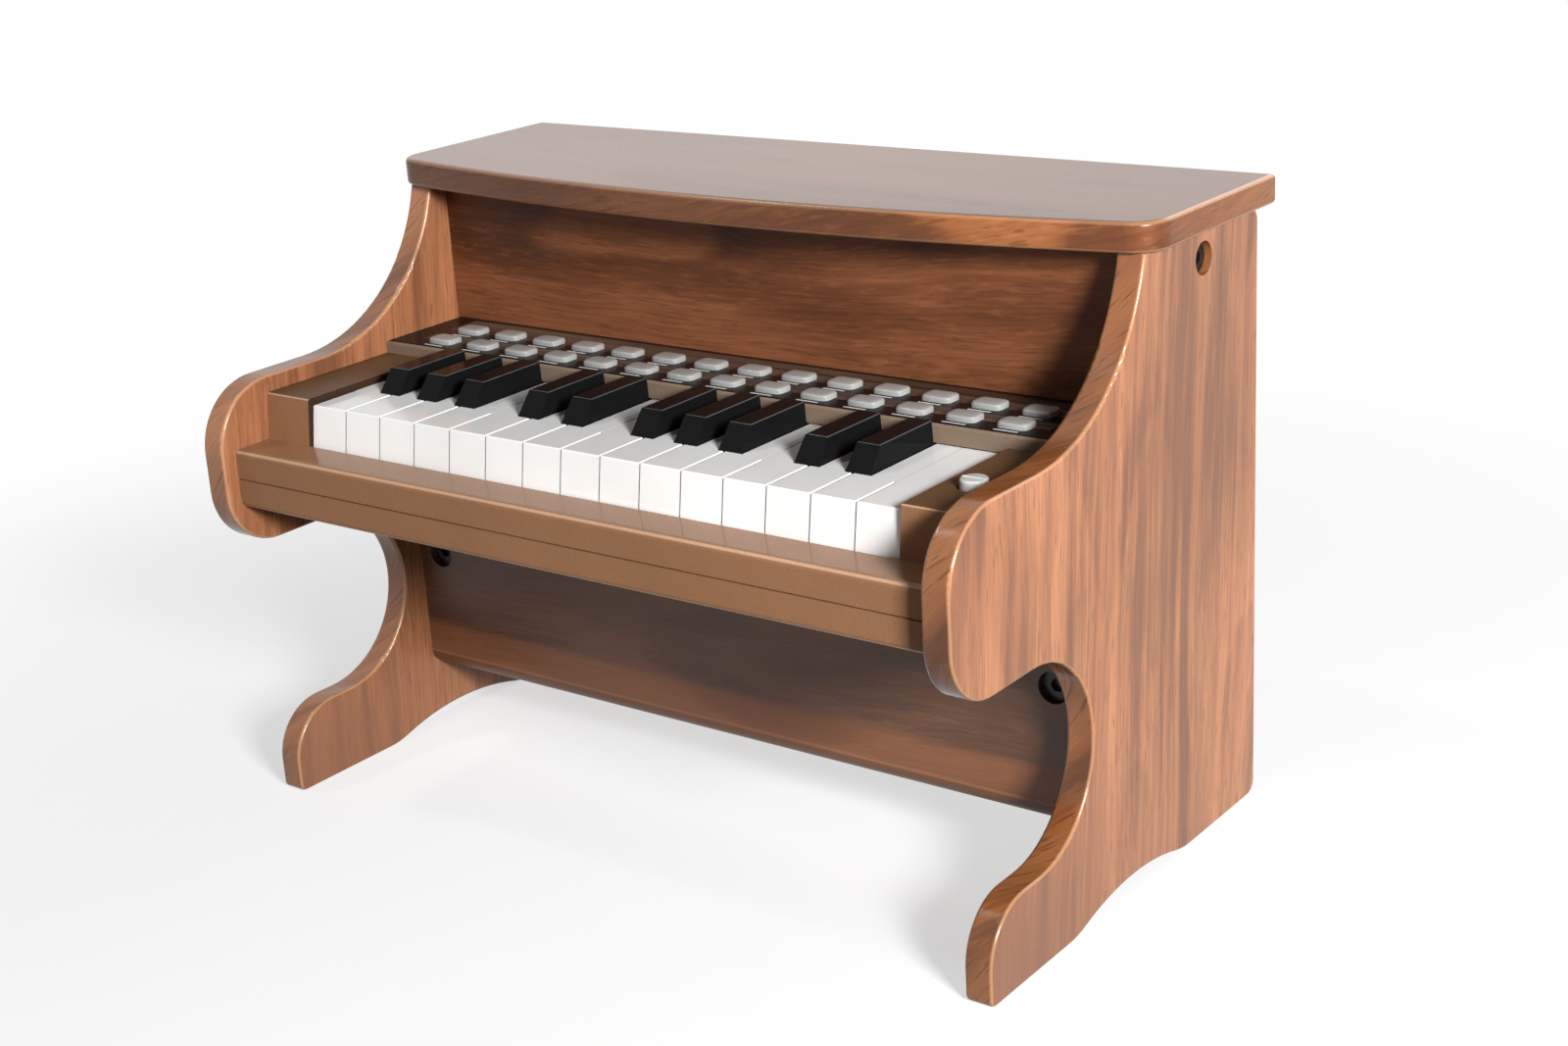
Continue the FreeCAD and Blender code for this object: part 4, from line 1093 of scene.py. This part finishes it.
# %% [markdown]
# What was picked can be drawn out. A finished mesh is shaded smooth, except where two faces meet at more
# than the smooth angle, and can be joined, copied and given its plastic.

# %% Drawing out, closing and copying
SMOOTH_ANGLE = math.radians(40)


def extrude(move):
    """Draw the selected faces out, along a vector."""
    bpy.ops.mesh.extrude_region_move(TRANSFORM_OT_translate={"value": move})


def close_mesh(piece, *others):
    """Leave edit mode, join further pieces to this one and shade it smooth between sharp edges."""
    bpy.ops.object.mode_set(mode="OBJECT")
    bpy.ops.object.select_all(action="DESELECT")
    for one in (piece, *others):
        one.select_set(True)
    bpy.context.view_layer.objects.active = piece
    if others:
        bpy.ops.object.join()
    bpy.ops.object.shade_smooth_by_angle(angle=SMOOTH_ANGLE)


def shifted_copy(piece, name, move):
    """A copy with its own mesh, its new place in that mesh."""
    copy = piece.copy()
    copy.name = name
    copy.data = piece.data.copy()
    copy.data.name = name
    copy.data.transform(Matrix.Translation(move))
    scene.collection.objects.link(copy)
    return copy


def finish_in(piece, plastic):
    """Give a modelled piece its only material."""
    piece.data.materials.clear()
    piece.data.materials.append(plastic)


print("modelling helpers ready")

# %% [markdown]
# ## Tone buttons
# Each button is a small pillow of pale plastic. Its corners are rounded and its top is crowned, and under
# the deck a flange keeps it from falling out, with a stem that presses the switch. A machined solid is
# too sharp for that, so one cap is modelled from a cube at the first column.

# %% One button cap
FLANGE_BORDER = 1.2 * MM
FLANGE_THICKNESS = 1.2 * MM
STEM_LENGTH = 2.6 * MM
STEM_WIDTH = 2.8 * MM
CAP_CORNER = 2.4 * MM
CAP_CORNER_SEGMENTS = 2
CAP_CROWN = 0.35 * MM
CAP_ROUND = 0.65 * MM
CAP_ROUND_SEGMENTS = 4

flange = Vector((pair_high.x - pair_low.x, FLANGE_LENGTH, 1))
cap_half = Vector((flange.x / 2 - FLANGE_BORDER, flange.y / 2 - FLANGE_BORDER, 0))
flange_top = pair_low.z + STEM_LENGTH + FLANGE_THICKNESS
seat = Vector((FIRST_COLUMN, FRONT_ROW, flange_top))
shoulder = Vector((0, 0, pair_high.z - CAP_CROWN - flange_top))
cap_to_flange = (flange.x / cap_half.x / 2, flange.y / cap_half.y / 2, 1)
flange_to_stem = (STEM_WIDTH / flange.x, STEM_WIDTH / flange.y, 1)

cap = add_box("tone_buttons_01", seat - cap_half, seat + cap_half + shoulder)
pick("EDGE", stands)
bpy.ops.mesh.bevel(offset=CAP_CORNER, segments=CAP_CORNER_SEGMENTS)
pick("FACE", looks_up)
bpy.ops.mesh.inset(thickness=CAP_CORNER)
bpy.ops.transform.translate(value=(0, 0, CAP_CROWN))
pick("EDGE", is_rim)
bpy.ops.mesh.bevel(offset=CAP_ROUND, segments=CAP_ROUND_SEGMENTS)
pick("FACE", looks_down)
extrude((0, 0, 0))
bpy.ops.transform.resize(value=cap_to_flange, center_override=seat)
extrude((0, 0, -FLANGE_THICKNESS))
extrude((0, 0, 0))
bpy.ops.transform.resize(value=flange_to_stem, center_override=seat)
extrude((0, 0, -STEM_LENGTH))
close_mesh(cap)
print("cap:", len(cap.data.polygons), "faces")

# %% [markdown]
# The cap is copied to the back row, and the two are joined to a pair, because a column moves together.
# The pair is then copied along the deck, and each copy rides on the body of its own column.

# %% All button pairs
back_cap = shifted_copy(cap, "back_cap", (0, BACK_ROW - FRONT_ROW, 0))
close_mesh(cap, back_cap)
finish_in(cap, cap_plastic)
for column in range(COLUMNS):
    number = f"{column + 1:02d}"
    pair = cap
    if column:
        pair = shifted_copy(cap, "tone_buttons_" + number, (column * COLUMN_PITCH, 0, 0))
    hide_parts("button_pair_" + number)
    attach(pair, f"button_pair_{number}_body")
print("button pairs:", COLUMNS, "with", len(cap.data.polygons), "faces each")

# %% [markdown]
# ## Volume knob
# The knob on the right cheek is a low white dome with a pointer ridge across it, and a stem that goes
# down into the volume control. It starts as a cylinder whose upper rim is rounded, a little smaller and
# lower than its solid, so that the gap round it shows.

# %% Volume knob
KNOB_SIDES = 48
KNOB_STEM_LENGTH = 10.0 * MM
KNOB_STEM_RADIUS = 1.95 * MM
KNOB_ROUND = 0.8 * MM
KNOB_ROUND_SEGMENTS = 5
KNOB_PLAY = 0.5 * MM
KNOB_SINK = 2.0 * MM
RIDGE_RISE = 0.3 * MM
RIDGE_WIDTH = 1.0 * MM
RIDGE_ROUND = 0.3 * MM
RIDGE_ROUND_SEGMENTS = 3

knob_low, knob_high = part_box("volume_knob")
knob_middle = (knob_low + knob_high) / 2
knob_radius = (knob_high.x - knob_low.x) / 2 - KNOB_PLAY
skirt = knob_low.z + KNOB_STEM_LENGTH
ridge_height = knob_high.z - KNOB_SINK
crown = ridge_height - RIDGE_RISE

bpy.ops.object.select_all(action="DESELECT")
bpy.ops.mesh.primitive_cylinder_add(
    vertices=KNOB_SIDES, radius=knob_radius, depth=crown - skirt,
    location=(knob_middle.x, knob_middle.y, (skirt + crown) / 2))
knob = open_mesh("volume_dome")
pick("EDGE", is_rim)
bpy.ops.mesh.bevel(offset=KNOB_ROUND, segments=KNOB_ROUND_SEGMENTS)
pick("FACE", looks_down)
bpy.ops.mesh.inset(thickness=knob_radius - KNOB_STEM_RADIUS)
extrude((0, 0, -KNOB_STEM_LENGTH))
bpy.ops.object.mode_set(mode="OBJECT")
print("dome and stem:", len(knob.data.polygons), "faces")

# %% [markdown]
# The ridge is a bar whose upright and upper edges are rounded. Its foot stays inside the dome, so no gap
# shows, and it is joined to the dome.

# %% Pointer ridge
ridge_half = Vector((knob_radius - KNOB_ROUND / 2, RIDGE_WIDTH / 2, 0))
ridge_foot = Vector((knob_middle.x, knob_middle.y, crown - KNOB_ROUND))
ridge_top = Vector((knob_middle.x, knob_middle.y, ridge_height))
ridge = add_box("pointer_ridge", ridge_foot - ridge_half, ridge_top + ridge_half)
pick("EDGE", lambda edge: stands(edge) or is_rim(edge))
bpy.ops.mesh.bevel(offset=RIDGE_ROUND, segments=RIDGE_ROUND_SEGMENTS)
close_mesh(knob, ridge)
finish_in(knob, knob_plastic)
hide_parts("volume_knob")
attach(knob, "volume_knob_body")
print("knob:", len(knob.data.polygons), "faces")

# %% [markdown]
# ## Metal
# The cabinet bolts are blackened steel, the screws and the hinge rod bright steel, the inserts brass.
# Metal shows its making: fine lines from drawing or turning, which are noise stretched far along one
# axis, and patches of another tone where the surface is worn.

# %% Metal group
DRAWN_LINES = (60, 2400, 2.0)
LINE_LIMITS = (0.3, 0.7)
METAL_ROUGHNESS = (0.24, 0.42)
WORN_PATCHES = (260, 4.0)
PATCH_LIMITS = (0.5, 0.75)

metal, given, result = new_group(
    "worked_metal",
    [("Vector", "Vector"), ("Colour", "Color"), ("Worn", "Color"), ("Wear", "Float")],
    [("Colour", "Color"), ("Roughness", "Float"), ("Height", "Float")])
drawn = strands(metal, given["Vector"], *DRAWN_LINES)
patches = spread(metal, cloud(metal, given["Vector"], *WORN_PATCHES), *PATCH_LIMITS)
patches = calculate(metal, "MULTIPLY", patches, given["Wear"])
feed(metal, result["Colour"], mix_colours(metal, patches, given["Colour"], given["Worn"]))
feed(metal, result["Roughness"], spread(metal, drawn, *LINE_LIMITS, *METAL_ROUGHNESS))
feed(metal, result["Height"], drawn)
print("metal group:", len(metal.nodes), "nodes")

# %% [markdown]
# Three metals come from the group, each with its own colour and the colour of its worn patches.

# %% Metals
LINE_RELIEF = 0.01 * MM


def worked(name, colour, worn, wear, metallic):
    """A drawn or turned metal, with patches of its worn colour."""
    material, tree, shader, where = new_material(name)
    made = place_group(tree, metal, {"Vector": where, "Colour": colour, "Worn": worn, "Wear": wear})
    feed(tree, shader.inputs["Base Color"], made["Colour"])
    feed(tree, shader.inputs["Roughness"], made["Roughness"])
    shader.inputs["Metallic"].default_value = metallic
    raise_grain(tree, shader, made["Height"], LINE_RELIEF)
    return material


black_steel = worked(
    "blackened_steel", (0.02, 0.02, 0.021, 1), worn=(0.09, 0.09, 0.09, 1), wear=0.5, metallic=0.6)
bright_steel = worked(
    "bright_steel", (0.62, 0.62, 0.62, 1), worn=(0.42, 0.42, 0.43, 1), wear=0.6, metallic=1.0)
brass = worked(
    "turned_brass", (0.72, 0.52, 0.22, 1), worn=(0.45, 0.31, 0.12, 1), wear=0.6, metallic=1.0)
dress("cabinet_bolts", black_steel)
dress("panhead_screws", bright_steel)
dress("key_hinge_rod", bright_steel)
dress("threaded_inserts", brass)
print("metals dressed")

# %% [markdown]
# ## Circuit boards
# Inside sit two circuit boards and the volume potentiometer. All three wear green lacquer over tracks: a
# brick pattern gives straight tracks of even width, and the lacquer is a little lighter over them.

# %% Boards
TRACKS = {
    "Color1": (0.012, 0.085, 0.035, 1), "Color2": (0.016, 0.105, 0.042, 1), "Mortar": (0.05, 0.19, 0.085, 1),
    "Scale": 150.0, "Mortar Size": 0.06, "Brick Width": 1.8, "Row Height": 0.5}
LACQUER_ROUGHNESS = (0.28, 0.4)
TRACK_RELIEF = 0.03 * MM


def lacquered_board():
    """Green lacquer over straight tracks."""
    material, tree, shader, where = new_material("board_lacquer")
    tracks = add_node(tree, "TexBrick", {"Vector": where, **TRACKS}).outputs
    feed(tree, shader.inputs["Base Color"], tracks["Color"])
    feed(tree, shader.inputs["Roughness"], spread(tree, tracks["Fac"], 0.0, 1.0, *LACQUER_ROUGHNESS))
    raise_grain(tree, shader, tracks["Fac"], TRACK_RELIEF)
    return material


board = lacquered_board()
for node in ("main_circuit_board", "button_circuit_board", "volume_potentiometer"):
    dress(node, board)
print("boards dressed")

# %% [markdown]
# ## Finish
# The box of the dressed piano is measured again, and its growth over the box that was loaded is printed.

# %% Finish
low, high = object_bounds()
growth = [dressed - bare for bare, dressed in zip(cad_high - cad_low, high - low)]
print("grown by mm:", [round(side / MM, 3) for side in growth])
